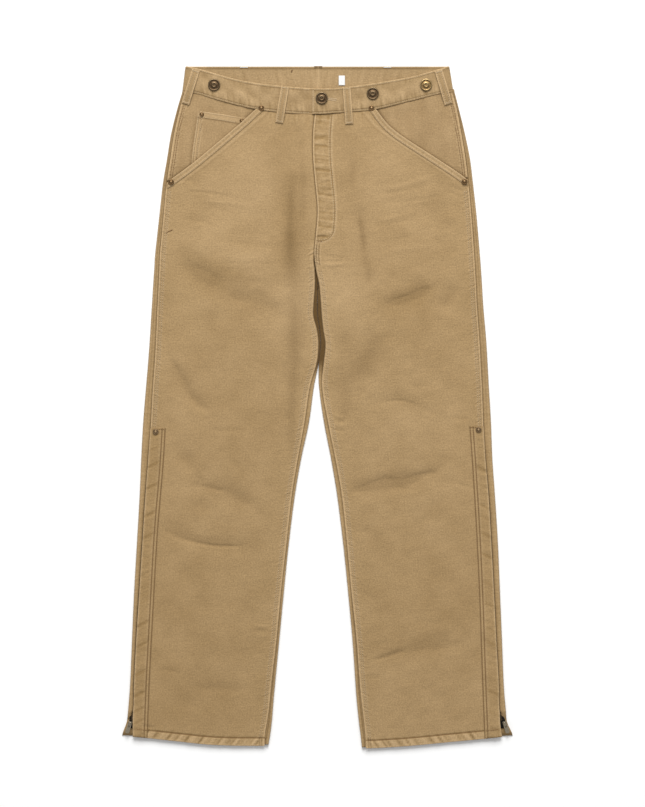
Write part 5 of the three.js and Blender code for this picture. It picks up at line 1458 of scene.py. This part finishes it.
def build_back_loop(name, x_middle):
    """A belt loop behind the waistband, its top turned over the band's edge."""
    half = LOOP_WIDTH / 2
    across = half * np.array((-1, -0.94, -0.8, -0.5, 0, 0.5, 0.8, 0.94, 1))
    low = BACK_BAND_LOW_Y + 0.3
    path = [(low, 0.1), (low + 12, 0.0), (low + 26, 0.0), (WAIST_Y - 1.0, 0.1), (WAIST_Y + 0.5, 0.9)]
    path += [(WAIST_Y + 0.9, 1.9), (WAIST_Y + 0.3, 3.2), (WAIST_Y - 1.2, 3.8), (WAIST_Y - 2.6, 3.7)]
    path = np.array(path)
    normal = np.gradient(path, axis=0)
    normal /= np.linalg.norm(normal, axis=1)[:, None]
    away = path + np.column_stack([-normal[:, 1], normal[:, 0]]) * 0.9
    outer, inner = (grid_points(x_middle + across, line[:, :1], line[:, 1:]) for line in (path, away))
    run = path[:, :1] + 0 * across
    along = np.stack([across + 0 * run, run], -1)
    # The outer loops' turned tops are painted pale as a highlight; the centre loop's top is painted dark as
    # shade.
    dark = name.endswith("centre")
    fade = 0.3 + (0 if dark else 0.9) * smooth(run, WAIST_Y - 5, WAIST_Y)
    soil = (0.9 if dark else 0.0) * smooth(run, WAIST_Y - 4, WAIST_Y)
    piece = cloth_piece(name, outer, inner, "canvas_band", along, fade, soil, 1, (fade, soil))
    cut_sheet(piece, name)


# Sewing


def resampled(points, step):
    """Evenly spaced points on a polyline, with the direction at each."""
    points = np.asarray(points, float)
    lengths = np.linalg.norm(np.diff(points, axis=0), axis=1)
    run = np.concatenate([[0], np.cumsum(lengths)])
    places = np.arange(step / 2, run[-1], step)
    spots = np.column_stack([np.interp(places, run, points[:, k]) for k in (0, 1)])
    ahead = np.column_stack([np.interp(places + 0.4, run, points[:, k]) for k in (0, 1)])
    behind = np.column_stack([np.interp(places - 0.4, run, points[:, k]) for k in (0, 1)])
    direction = ahead - behind
    direction /= np.maximum(np.linalg.norm(direction, axis=1), 1e-6)[:, None]
    return spots, direction


RINGS = ((-0.5, 0.45, -0.22), (-0.32, 0.95, 0.02), (0.0, 1.0, 0.08), (0.32, 0.95, 0.02), (0.5, 0.45, -0.22))
THREAD_SIDES = 5


def stitch_points(spots, direction, height, length, width):
    """The points of a row of stitches: short threads that dip into the cloth at both ends."""
    angles = 2 * math.pi * np.arange(THREAD_SIDES) / THREAD_SIDES + math.pi / 2
    across = np.column_stack([-direction[:, 1], direction[:, 0]])
    rings = []
    for place, swell, lift in RINGS:
        centre = spots + direction * (place * length)
        z = height(centre[:, 0], centre[:, 1]) + lift
        ring = []
        for a in angles:
            flat = centre + across * (0.5 * width * swell * math.cos(a))
            ring.append(np.column_stack([flat, z + 0.36 * width * swell * (math.sin(a) + 0.4)]))
        rings.append(np.stack(ring, 1))
    return np.stack(rings, 1)


def thread_object(name, rows, paint):
    """Rows of stitches joined into one mesh."""
    points, faces, count = [], [], 0
    for path, height, length, width, step in rows:
        spots, direction = resampled(path, step)
        made = stitch_points(spots, direction, height, length, width)
        index = np.arange(made[..., 0].size).reshape(made.shape[:3]) + count
        ahead = np.roll(index, -1, 2)
        quads = np.stack([index[:, :-1], ahead[:, :-1], ahead[:, 1:], index[:, 1:]], -1).reshape(-1, 4)
        faces += quads.tolist()
        faces += index[:, 0, ::-1].tolist() + index[:, -1].tolist()
        points.append(made.reshape(-1, 3))
        count += made[..., 0].size
    points = np.concatenate(points)
    dress(mesh_object(name, points, faces, material(paint), {"cloth": points}), "garment", "canvas")


def stitch_row(path, height, spacing=1.2):
    """A row of stitches: its path, the height it lies on, and the stitches' length, width and step."""
    cloth = bpy.context.scene.pants_cloth
    length = cloth.stitch_length
    return path, height, length, cloth.thread_width, length * spacing


def side_path(side, distance, y):
    """A path on one side of the garment."""
    return np.column_stack([distance * side.sign, y])


def leg_line(side, column, offset, low, high, inward):
    """A line beside a leg's seam, an offset in from it."""
    y = np.arange(low, high, 2.0)
    return side_path(side, spline(side.leg, column, y) + inward * offset, y)


def seam_rows(side):
    """Both felled seams' double rows."""
    rows = []
    for offset in SEAM_LINES:
        in_seam = leg_line(side, "seam_in", offset, -522, CROTCH_Y - 2, 1)
        out_seam = leg_line(side, "front_out", offset, ZIP_TOP_Y + 10, 344, -1)
        rows += [stitch_row(path, partial(front_surface, side), 1.3) for path in (in_seam, out_seam)]
    return rows


def hem_rows(side):
    """The hem's single row, over the front and then the placket."""
    rows = []
    for low, high, surface in ((80.0, 262.0, front_surface), (266.0, 288.0, placket_surface)):
        distance = np.arange(low, high, 2.0)
        path = side_path(side, distance, hem_at(side, distance) + HEM_DEPTH + 0.4)
        rows.append(stitch_row(path, partial(surface, side), 1.15))
    return rows


def fly_rows():
    """The fly's double row, down and round to the edge, and the crotch's double row."""
    top = partial(front_surface, LEFT)
    turn_y = FLY_STITCH_FOOT_Y + FLY_TURN
    turn = 0.5 * math.pi * np.linspace(0, 1, 24)[1:]
    rows = []
    for inset in (0.0, 2.8):
        y = np.arange(460.0, turn_y, -2.0)
        x = spline(LEFT.leg, "seam_in", y) + FLY_STITCH - inset
        low = FLY_STITCH_FOOT_Y + inset
        curve_x = x[-1] - (FLY_TURN - inset) * (1 - np.cos(turn))
        curve_y = mix(turn_y, low, np.sin(turn))
        end_x = np.arange(curve_x[-1] - 1, spline(LEFT.leg, "seam_in", low) + 1.5, -1.0)
        path_x = np.concatenate([x, curve_x, end_x])
        path = side_path(LEFT, path_x, np.concatenate([y, curve_y, low + 0 * end_x]))
        rows.append(stitch_row(path, top, 1.3))
    for offset in CROTCH_LINES:
        rows.append(stitch_row(leg_line(LEFT, "seam_in", offset, CROTCH_Y + 6, FLY_BOTTOM_Y + 18, 1), top))
    return rows


def waistband_rows():
    """The waistband's edge stitching and the tab's end."""
    rows = []
    for low_x, high_x in ((-204.0, -12.0), (-5.5, 206.0)):
        x = np.arange(low_x, high_x, 2.0)
        for y in (band_top(x) - BAND_LINE, band_low(x) + BAND_LINE):
            rows.append(stitch_row(np.column_stack([x, y]), band_surface))
    end = np.column_stack([np.full(18, BAND_TAB_X + 2.6), np.linspace(466.5, 501.5, 18)])
    rows.append(stitch_row(end, band_surface))
    return rows


def bartack(x, y, angle, reach, across, height):
    """A dense short bar of zigzag thread, as one row of close stitches set across the bar."""
    cos, sin = math.cos(angle), math.sin(angle)
    half = np.array((sin, -cos)) * across / 2
    rows = []
    for place in np.linspace(-reach / 2, reach / 2, max(int(reach / 0.75), 3)):
        middle = np.array((x + cos * place, y + sin * place))
        rows.append((np.array((middle + half, middle - half)), height, across * 0.98, 0.75, across))
    return rows


def level(height, x, y):
    """The same height everywhere."""
    return height + 0 * x


def back_loop_highlight_rows():
    """Pale bars of thread over the turned tops of the two outer back loops, their white a painted highlight.
    """
    rows = []
    for name, x in BACK_LOOPS:
        if not name.endswith("centre"):
            rows += bartack(x, WAIST_Y - 1.1, 0.0, 11.5, 2.2, partial(level, 3.85))
    return rows


def bartack_rows():
    """Bars at the side seam and over the fly's foot, and the knot inside the waistband."""
    rows = bartack(-234, 278.5, 0.44, 10.5, 2.0, partial(front_surface, RIGHT))
    rows += bartack(3.5, 262.0, 0.1, 8.0, 2.0, partial(front_surface, LEFT))
    inner_face = BACK_BAND_Z + BACK_BAND_WALL + 0.2
    return rows + bartack(-40.4, 531.8, 1.4, 3.4, 2.4, partial(level, inner_face))


def facing_rows(side):
    """The double row down the hip beside the out seam."""
    high = band_low(205.0 * side.sign) - 4
    top = partial(facing_surface, side)
    lines = (leg_line(side, "front_out", offset, 366, high, -1) for offset in SEAM_LINES)
    return [stitch_row(line, top, 1.35) for line in lines]


def edge_line_height(side, offset, x, y):
    """Height of a pocket edge along one of its stitch lines."""
    return top_height(side, x, y) + edge_lift(offset, y * 1.6, 97 + side.sign)


def edge_rows(side):
    """Both rows along a slant pocket's edge."""
    base = np.linspace(side.slant["y"][0] + 3, 466, 90)
    return [
        stitch_row(np.column_stack(edge_place(side, base, offset)), partial(edge_line_height, side, offset))
        for offset in EDGE_LINES
    ]


def watch_rows():
    """The watch pocket's hem and side rows."""
    lines = []
    for offset in WATCH_HEM_LINES:
        distance = np.arange(130.0, 187.0, 2.0)
        lines.append((distance, spline(WATCH_TOP, "y", distance, key="x") - offset, 3))
    for offset in WATCH_SIDE_LINES:
        y = np.arange(396.0, 464.0, 2.0)
        lines.append((spline(WATCH_LEFT, "x", y) - offset, y, 2))
    return [
        stitch_row(side_path(RIGHT, distance, y)[distance > slant_at(RIGHT, y) + margin], watch_surface)
        for distance, y, margin in lines
    ]


def placket_rows(side):
    """The placket's double inner rows and its head."""
    head = side.placket["y"][-1]
    paths = []
    for offset in PLACKET_LINES:
        y = np.arange(-508.0, head - offset, 2.0)
        paths.append(side_path(side, spline(side.placket, "x", y) + offset, y))
    paths.append(side_path(side, np.linspace(241.5, 258.0, 12), np.full(12, head - 1.4)))
    return [stitch_row(path, partial(placket_surface, side), 1.12) for path in paths]


def loop_rows(row):
    """A belt loop's two rows and the bars at its ends."""
    reach, up, right = loop_axes(row)
    top = partial(loop_surface, row)
    run = np.linspace(2.5, reach - 2.5, 30)
    rows = []
    for across in (-LOOP_LINE, LOOP_LINE):
        x = row.low_x + up.x * run + right.x * across
        y = row.low_y + up.y * run + right.y * across
        rows.append(stitch_row(np.column_stack([x, y]), top))
    angle = math.atan2(right.y, right.x)
    for end in (2.6, reach - 2.6):
        rows += bartack(row.low_x + up.x * end, row.low_y + up.y * end, angle, 9.5, 2.0, top)
    return rows


BUTTONHOLE = (16.1, 487.5, 28.9, 485.6)


def buttonhole_rows():
    """The keyhole's close whipping on both sides of its slit."""
    x0, y0, x1, y1 = BUTTONHOLE
    angle = math.atan2(y1 - y0, x1 - x0)
    reach = math.hypot(x1 - x0, y1 - y0)
    rows = []
    for shift in (-1.2, 1.2):
        x = (x0 + x1) / 2 - math.sin(angle) * shift
        y = (y0 + y1) / 2 + math.cos(angle) * shift
        rows += bartack(x, y, angle, reach, 1.9, band_surface)
    return rows + bartack(x1 + 0.6, y1, angle + math.pi / 2, 4.0, 1.6, band_surface)


# Metal pieces


def turned(profile, segments, ribs=None):
    """Points and faces of a solid turned about Z from a profile of radius and height."""
    profile = np.array(profile, float)
    angles = 2 * math.pi * np.arange(segments) / segments
    ring = np.column_stack([np.cos(angles), np.sin(angles)])
    points = [(0, 0, profile[0, 1])]
    for r, z in profile[1:-1]:
        lift = 0 if ribs is None else ribs(r, angles)
        points += np.column_stack([ring * r, z + lift + 0 * angles]).tolist()
    points.append((0, 0, profile[-1, 1]))
    points = np.array(points)
    rings = len(profile) - 2
    index = 1 + np.arange(rings * segments).reshape(rings, segments)
    ahead = np.roll(index, -1, 1)
    quads = np.stack([index[:-1], ahead[:-1], ahead[1:], index[1:]], -1).reshape(-1, 4).tolist()
    first = [[0, b, a] for a, b in zip(index[0].tolist(), ahead[0].tolist())]
    last = [[len(points) - 1, a, b] for a, b in zip(index[-1].tolist(), ahead[-1].tolist())]
    return points, first + quads + last


def node_box(name):
    """A CAD node's corners, and the middle of its footprint, in millimetres."""
    low, high = (np.array(corner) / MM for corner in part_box(name))
    return low, high, (low[:2] + high[:2]) / 2


BUTTON_RADIUS = 9.6
BUTTON_PROFILE = (
    (0, 0), (0.30, 0), (0.32, 0.5), (0.32, 0.95), (0.6, 1.0), (0.9, 1.0), (0.97, 1.15), (1.0, 1.5),
    (1.0, 2.1), (0.985, 2.55), (0.94, 2.85), (0.87, 2.95), (0.80, 2.80), (0.76, 2.45), (0.72, 2.3),
    (0.62, 2.35), (0.5, 2.55), (0.42, 2.8), (0.36, 3.0), (0.28, 3.05), (0.22, 2.85), (0.16, 2.7),
    (0.08, 2.8), (0, 2.85),
)
BUTTON_RIBS = 28


def button_ribs(r, angles):
    """Fine ribs round the sunk ring of a button's face."""
    share = hump(r / BUTTON_RADIUS, 0.62, 0.08)
    return 0.16 * share * np.cos(BUTTON_RIBS * angles)


def build_button(name, paint):
    """A shank button on its CAD node's place."""
    low, _, middle = node_box(name)
    profile = [(r * BUTTON_RADIUS, z) for r, z in BUTTON_PROFILE]
    points, faces = turned(profile, 112, button_ribs)
    radius = np.hypot(points[:, 0], points[:, 1]) / BUTTON_RADIUS
    height = points[:, 2]
    worn = 0.75 * hump(radius, 0.9, 0.06) * (height > 2) + humps(radius, (0.33, 0.07, 0.7), (0, 0.08, 0.5))
    worn = worn + 0.5 * hump(radius, 0.62, 0.08) * np.clip((height - 2.35) * 6, 0, 1)
    points = points + (*middle, low[2] - 0.3)
    piece = mesh_object(name + "_cap", points, faces, material(paint), {"worn": worn})
    dress(piece, "garment", paint, name)


RIVET_PROFILE = (
    (0, -0.6), (1.0, -0.6), (1.02, 0.1), (1.0, 0.5), (0.94, 0.72), (0.84, 0.8), (0.72, 0.72), (0.6, 0.6),
    (0.5, 0.62), (0.44, 0.9), (0.38, 1.25), (0.28, 1.45), (0.14, 1.5), (0, 1.52),
)
WATCH_RIVET = (-119.5, 453.2)


def build_rivet(name, radius, place, paint, *nodes):
    """A hammered rivet: a dished cap with its post raised in the middle."""
    points, faces = turned([(r * radius, h) for r, h in RIVET_PROFILE], 40)
    share = np.hypot(points[:, 0], points[:, 1]) / radius
    worn = humps(share, (0.88, 0.1, 0.55), (0.15, 0.28, 0.8))
    piece = mesh_object(name + "_cap", points + place, faces, material(paint), {"worn": worn})
    dress(piece, "garment", "rivet", *nodes)


def build_node_rivet(name):
    """A rivet on its CAD node's place; the plackets' rivets lie on their cloth."""
    low, high, (x, y) = node_box(name)
    paint, bed = "rivet", low[2]
    if "placket" in name:
        cloth = placket_surface(RIGHT if x < 0 else LEFT, x, y)
        paint, bed = "rivet_pale", max(bed, float(cloth) - 0.1)
    build_rivet(name, (high[0] - low[0]) / 2, (x, y, bed), paint, name)


# Zips


def zip_line(side, y):
    """Middle line of a zip's chain between the back's edge and the front's."""
    out = spline(side.leg, "seam_out", y)
    front = spline(side.leg, "front_out", y)
    return np.minimum(mix(front, out, 0.5), SLIDER_X)


def build_zip_tape(side):
    """A zip's woven tape in the groove."""
    y = np.linspace(TAPE_END_Y, ZIP_TOP_Y, 160)[:, None]
    out = np.minimum(spline(side.leg, "seam_out", y) + 1.5, TAPE_OUT_X)
    inner = spline(side.leg, "front_out", y) - 5
    share = np.linspace(0, 1, 8)
    distance = mix(out, inner, share)
    x = distance * side.sign
    z = TAPE_Z + TAPE_WALL + 0.05 * wobble(y, 12, 131) + 0 * distance
    edge = np.minimum(distance - inner, out - distance)
    along = np.stack([distance, y + 0 * distance], -1)
    blank = 0 * distance
    name = "zip_tape_" + side.name
    piece = laid_cloth(name, x, y, z, TAPE_WALL, edge, "zip_tape", along, blank, blank)
    cut_sheet(piece, name, "zip_tape")


def box_points(length, width, height):
    """A small block's points and faces, its upper edges drawn in."""
    a, b = length / 2, width / 2
    c, d = a * 0.78, b * 0.78
    ring = ((-a, -b), (a, -b), (a, b), (-a, b))
    cap = ((-c, -d), (c, -d), (c, d), (-c, d))
    points = [(x, y, 0) for x, y in ring] + [(x, y, height * 0.65) for x, y in ring]
    points += [(x, y, height) for x, y in cap]
    faces = [[3, 2, 1, 0], [8, 9, 10, 11]]
    for level in (0, 4):
        for k in range(4):
            n = (k + 1) % 4
            faces.append([level + k, level + n, level + 4 + n, level + 4 + k])
    return np.array(points, float), faces


def build_zip_teeth(side):
    """A zip's chain: metal teeth from both sides in turn, down to the slider."""
    tooth, tooth_faces = box_points(3.0, 1.25, 1.3)
    points, faces = [], []
    for k, y in enumerate(np.arange(ZIP_TOP_Y - 6, SLIDER_Y + 5, -TOOTH_PITCH / 2)):
        shift = 0.7 if k % 2 else -0.7
        place = np.array(((zip_line(side, y) + shift) * side.sign, y, TAPE_Z + TAPE_WALL))
        faces += [[v + len(points) * len(tooth) for v in face] for face in tooth_faces]
        points.append(tooth + place)
    points = np.concatenate(points)
    # The teeth's tops are painted lighter as a highlight.
    worn = smooth(points[:, 2], TAPE_Z + TAPE_WALL + 0.6, TAPE_Z + TAPE_WALL + 1.3)
    name = "zip_teeth_" + side.name
    piece = mesh_object(name, points, faces, material("zip_teeth"), {"worn": worn})
    dress(piece, "garment", "zip_metal")


def softened(name, node, body, width):
    """A hard piece on its CAD node's own form, its edges bevelled and finely divided."""
    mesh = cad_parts[node].data.copy()
    mesh.name = name
    mesh.materials.clear()
    mesh.materials.append(material("zip_metal"))
    made = bpy.data.objects.new(name, mesh)
    bpy.context.scene.collection.objects.link(made)
    weld = made.modifiers.new("weld", "WELD")
    weld.merge_threshold = 2e-5
    bevel = made.modifiers.new("bevel", "BEVEL")
    bevel.width = width * MM
    bevel.segments = 3
    bevel.limit_method = "ANGLE"
    bevel.angle_limit = math.radians(35)
    evaluated = made.evaluated_get(bpy.context.evaluated_depsgraph_get())
    made.data = bpy.data.meshes.new_from_object(evaluated)
    made.modifiers.clear()
    made.data.polygons.foreach_set("use_smooth", np.ones(len(made.data.polygons), bool))
    made.data.set_sharp_from_angle(angle=math.radians(40))
    z = np.array([v.co.z for v in made.data.vertices])
    # The worn colour rises with height: a painted highlight on the tops of the slider and pull.
    store_field(made.data, "worn", 0.25 + 0.7 * smooth(z, z.min(), z.max()))
    dress(made, body, "zip_metal", node)


def build_size_tab():
    """The blank white tab inside the back waistband."""
    low, high, _ = node_box("size_tab")
    across = np.linspace(low[0], high[0], 14)
    up = np.linspace(low[1], high[1], 20)[:, None]
    x = across + 0 * up
    y = up + 0 * across
    z = high[2] - 0.3 + 0.12 * wobble(up, 9, 141) + 0.1 * np.sin(math.pi * (across - low[0]) / 9.8) + 0 * x
    edge = np.minimum(np.minimum(x - low[0], high[0] - x), np.minimum(y - low[1], high[1] - y))
    along = np.stack([x, y], -1)
    piece = laid_cloth("size_tab", x, y, z, 0.6, edge, "label", along, 0 * x, 0 * x)
    cut_sheet(piece, "size_tab", "white_tab")


# Settings


def length_setting(name, description, default, low, high):
    """A length in millimetres."""
    return FloatProperty(name=name, description=description, default=default, min=low, max=high)


def colour_setting(name, description, default):
    """A colour."""
    return FloatVectorProperty(
        name=name, description=description, subtype="COLOR", size=3, default=default, min=0, max=1
    )


class ClothSettings(bpy.types.PropertyGroup):
    """Sizes and colours of the cloth and thread."""

    stitch_length: length_setting("Stitch length", "Length of one stitch, in millimetres", 2.9, 1.5, 6.0)
    thread_width: length_setting("Thread width", "Width of the sewing thread, in millimetres", 0.85, 0.3, 1.5)
    weave_pitch: length_setting("Weave pitch", "Room for two threads, in millimetres", 1.5, 0.5, 3.0)
    canvas: colour_setting("Canvas", "Colour of the duck canvas", (0.290, 0.1845, 0.077))
    band: colour_setting("Waistband", "Colour of the waistband and loops", (0.280, 0.183, 0.083))
    facing: colour_setting("Facing", "Colour of the pocket facings", (0.290, 0.187, 0.085))
    faded: colour_setting("Faded", "Colour where the canvas has rubbed pale", (0.475, 0.327, 0.172))
    # Colour blended in where shade is painted in creases, gaps and under laps, and where dirt stays.
    soiled: colour_setting("Soiled", "Colour where dirt stays in creases", (0.105, 0.058, 0.017))
    thread: colour_setting("Thread", "Colour of the pale thread", (0.52, 0.385, 0.225))
    thread_dark: colour_setting("Dark thread", "Colour of the dark thread", (0.19, 0.095, 0.030))
    tape: colour_setting("Zip tape", "Colour of the zip's tape", (0.012, 0.010, 0.008))
    label: colour_setting("Tab", "Colour of the blank tab", (0.86, 0.86, 0.85))


class MetalSettings(bpy.types.PropertyGroup):
    """Colours of the buttons, rivets and zips."""

    dark: colour_setting("Button", "Aged colour of the dark buttons", (0.060, 0.035, 0.018))
    worn: colour_setting("Button worn", "Rubbed colour of the dark buttons", (0.28, 0.205, 0.115))
    gilt_dark: colour_setting("Brass", "Aged colour of the bright button", (0.16, 0.095, 0.035))
    gilt: colour_setting("Brass worn", "Rubbed colour of the bright button", (0.60, 0.44, 0.22))
    rivet_dark: colour_setting("Rivet", "Aged colour of the rivets", (0.085, 0.045, 0.018))
    rivet: colour_setting("Rivet worn", "Rubbed colour of the rivets", (0.40, 0.26, 0.13))
    pale_dark: colour_setting("Worn rivet", "Aged colour of the plackets' rivets", (0.11, 0.065, 0.032))
    pale: colour_setting("Worn rivet, rubbed", "Rubbed colour of the plackets' rivets", (0.42, 0.30, 0.17))
    zip_dark: colour_setting("Zip", "Aged colour of the zip's metal", (0.07, 0.050, 0.030))
    # On the sliders and pulls the rubbed colour is laid on by height as a painted highlight.
    zip: colour_setting("Zip worn", "Rubbed colour of the zip's metal", (0.44, 0.37, 0.27))
    teeth: colour_setting("Zip teeth", "Aged colour of the zip's teeth", (0.03, 0.02, 0.012))


# Operators


class PANTS_OT_fronts(bpy.types.Operator):
    """Makes both fronts"""

    bl_idname = "pants.fronts"
    bl_label = "Fronts"

    def execute(self, context):
        for side in SIDES:
            build_front(side)
        return {"FINISHED"}


class PANTS_OT_backs(bpy.types.Operator):
    """Makes both backs, rolled over at the edges"""

    bl_idname = "pants.backs"
    bl_label = "Backs"

    def execute(self, context):
        for side in SIDES:
            build_back(side)
        return {"FINISHED"}


class PANTS_OT_waistband(bpy.types.Operator):
    """Makes both halves of the waistband"""

    bl_idname = "pants.waistband"
    bl_label = "Waistband"

    def execute(self, context):
        for side in SIDES:
            build_waistband(side)
        return {"FINISHED"}


class PANTS_OT_pockets(bpy.types.Operator):
    """Makes the hip facings, the pocket edges and the watch pocket"""

    bl_idname = "pants.pockets"
    bl_label = "Pockets"

    def execute(self, context):
        for side in SIDES:
            build_hip_facing(side)
            build_pocket_edge(side)
        build_watch_pocket()
        return {"FINISHED"}


class PANTS_OT_plackets(bpy.types.Operator):
    """Makes the plackets over the ankle zips"""

    bl_idname = "pants.plackets"
    bl_label = "Ankle Plackets"

    def execute(self, context):
        for side in SIDES:
            build_placket(side)
        return {"FINISHED"}


class PANTS_OT_belt_loops(bpy.types.Operator):
    """Makes the belt loops in front and behind"""

    bl_idname = "pants.belt_loops"
    bl_label = "Belt Loops"

    def execute(self, context):
        for row in BELT_LOOPS:
            build_belt_loop(row)
        for name, x in BACK_LOOPS:
            build_back_loop(name, x)
        return {"FINISHED"}


class PANTS_OT_sewing(bpy.types.Operator):
    """Sews the seams, hems, pockets, loops and buttonhole"""

    bl_idname = "pants.sewing"
    bl_label = "Sewing"

    def execute(self, context):
        for side in SIDES:
            thread_object("seam_stitches_" + side.name, seam_rows(side), "thread")
            thread_object("hem_stitches_" + side.name, hem_rows(side), "thread_dark")
            thread_object("pocket_stitches_" + side.name, edge_rows(side), "thread")
            thread_object("hip_stitches_" + side.name, facing_rows(side), "thread_dark")
            thread_object("placket_stitches_" + side.name, placket_rows(side), "thread_dark")
        thread_object("fly_stitches", fly_rows(), "thread")
        thread_object("bartacks", bartack_rows(), "thread_dark")
        # White thread bars as a painted highlight on the outer back loops' tops.
        thread_object("back_loop_tacks", back_loop_highlight_rows(), "label")
        thread_object("waistband_stitches", waistband_rows(), "thread")
        thread_object("watch_pocket_stitches", watch_rows(), "thread")
        thread_object("buttonhole_stitches", buttonhole_rows(), "thread")
        thread_object("loop_stitches", [r for row in BELT_LOOPS for r in loop_rows(row)], "thread")
        return {"FINISHED"}


class PANTS_OT_buttons(bpy.types.Operator):
    """Makes the shank buttons"""

    bl_idname = "pants.buttons"
    bl_label = "Buttons"

    def execute(self, context):
        for name in ("button_fly", "button_brace_right", "button_brace_left"):
            build_button(name, "button_dark")
        build_button("button_brace_side", "button_bright")
        return {"FINISHED"}


class PANTS_OT_rivets(bpy.types.Operator):
    """Makes the rivets"""

    bl_idname = "pants.rivets"
    bl_label = "Rivets"

    def execute(self, context):
        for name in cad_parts:
            if name.startswith("rivet_"):
                build_node_rivet(name)
        bed = watch_surface(*WATCH_RIVET) - 0.1
        build_rivet("rivet_watch_inner", 3.6, (*WATCH_RIVET, bed), "rivet")
        return {"FINISHED"}


class PANTS_OT_zips(bpy.types.Operator):
    """Makes the ankle zips: tapes, teeth, sliders and pulls"""

    bl_idname = "pants.zips"
    bl_label = "Ankle Zips"

    def execute(self, context):
        for side in SIDES:
            build_zip_tape(side)
            build_zip_teeth(side)
            pull = "pull_" + side.name
            softened("slider_" + side.name, "zip_slider_" + side.name, "garment", 0.25)
            softened(pull, "zip_" + pull, pull, 0.3)
        return {"FINISHED"}


class PANTS_OT_size_tab(bpy.types.Operator):
    """Makes the blank tab in the waistband"""

    bl_idname = "pants.size_tab"
    bl_label = "Blank Tab"

    def execute(self, context):
        build_size_tab()
        return {"FINISHED"}


PHOTO_WIDE = 645
PHOTO_TALL = 807
PIXEL = 1.58
CENTRE_PIXEL = (317.4, 407.5)
LENS = 120.0
SENSOR = 36.0
FLOOR_REACH = 4000.0
FLOOR_Z = -0.3
KEY_PLACE = (0.0, 4.2, 3.6)
KEY_SIZE = 3.2
KEY_POWER = 375.0
FILL_STRENGTH = 0.51


class PANTS_OT_stage(bpy.types.Operator):
    """Lays the floor, lights it softly from the waist's side, and sets the camera straight above"""

    bl_idname = "pants.stage"
    bl_label = "Stage"

    def execute(self, context):
        corners = ((-1, -1), (1, -1), (1, 1), (-1, 1))
        points = np.array([(x * FLOOR_REACH, y * FLOOR_REACH, FLOOR_Z) for x, y in corners])
        floor_paint = Paint("floor", Roughness=0.9, Specular_IOR_Level=0.1)
        spots = floor_paint.noise(floor_paint.add("ShaderNodeTexCoord", {}, {}, "Object"), 3.0)
        floor_paint.feed(Base_Color=floor_paint.scaled((0.93, 0.93, 0.925, 1.0), 1.0 + spots * 0.01))
        floor = mesh_object("floor", points, [[0, 1, 2, 3]], floor_paint.material)
        self.light("key", KEY_PLACE, KEY_SIZE, KEY_POWER)
        world = bpy.data.worlds.new("studio")
        world.use_nodes = True
        background = world.node_tree.nodes["Background"]
        background.inputs["Color"].default_value = (1.0, 1.0, 1.0, 1.0)
        background.inputs["Strength"].default_value = FILL_STRENGTH
        context.scene.world = world
        data = bpy.data.cameras.new("camera")
        data.lens = LENS
        data.sensor_width = SENSOR
        camera = bpy.data.objects.new("camera", data)
        context.scene.collection.objects.link(camera)
        middle_x = (PHOTO_WIDE / 2 - CENTRE_PIXEL[0]) * PIXEL
        middle_y = (CENTRE_PIXEL[1] - PHOTO_TALL / 2) * PIXEL
        away = PHOTO_TALL * PIXEL * LENS / SENSOR
        camera.location = (middle_x * MM, middle_y * MM, (away + HIP_HEIGHT) * MM)
        context.scene.camera = camera
        context.scene.view_settings.view_transform = "Standard"
        return {"FINISHED"}

    def light(self, name, place, size, power):
        """A square softbox that faces the garment."""
        data = bpy.data.lights.new(name, "AREA")
        data.size = size
        data.energy = power
        lamp = bpy.data.objects.new(name, data)
        lamp.location = place
        lamp.rotation_euler = (-Vector(place)).to_track_quat("-Z", "Y").to_euler()
        bpy.context.scene.collection.objects.link(lamp)


OPERATORS = (
    PANTS_OT_backs,
    PANTS_OT_fronts,
    PANTS_OT_waistband,
    PANTS_OT_pockets,
    PANTS_OT_plackets,
    PANTS_OT_belt_loops,
    PANTS_OT_zips,
    PANTS_OT_buttons,
    PANTS_OT_rivets,
    PANTS_OT_size_tab,
    PANTS_OT_sewing,
    PANTS_OT_stage,
)


class PANTS_PT_panel(bpy.types.Panel):
    """Lists the settings and the pieces"""

    bl_label = "Work Pants"
    bl_idname = "PANTS_PT_panel"
    bl_space_type = "VIEW_3D"
    bl_region_type = "UI"
    bl_category = "Work Pants"

    def draw(self, context):
        column = self.layout.column()
        for settings in (context.scene.pants_cloth, context.scene.pants_metal):
            for name in type(settings).__annotations__:
                column.prop(settings, name)
        for operator in OPERATORS:
            column.operator(operator.bl_idname)


CLASSES = (ClothSettings, MetalSettings, *OPERATORS, PANTS_PT_panel)


def register():
    """Adds the classes and their settings."""
    for cls in CLASSES:
        bpy.utils.register_class(cls)
    bpy.types.Scene.pants_cloth = PointerProperty(type=ClothSettings)
    bpy.types.Scene.pants_metal = PointerProperty(type=MetalSettings)


def unregister():
    """Takes the classes and their settings away."""
    del bpy.types.Scene.pants_metal
    del bpy.types.Scene.pants_cloth
    for cls in reversed(CLASSES):
        bpy.utils.unregister_class(cls)


def main():
    """Makes every piece in order."""
    register()
    for operator in OPERATORS:
        getattr(bpy.ops.pants, operator.__name__.partition("_OT_")[2])()
    bpy.context.view_layer.update()


if __name__ == "__main__":
    main()
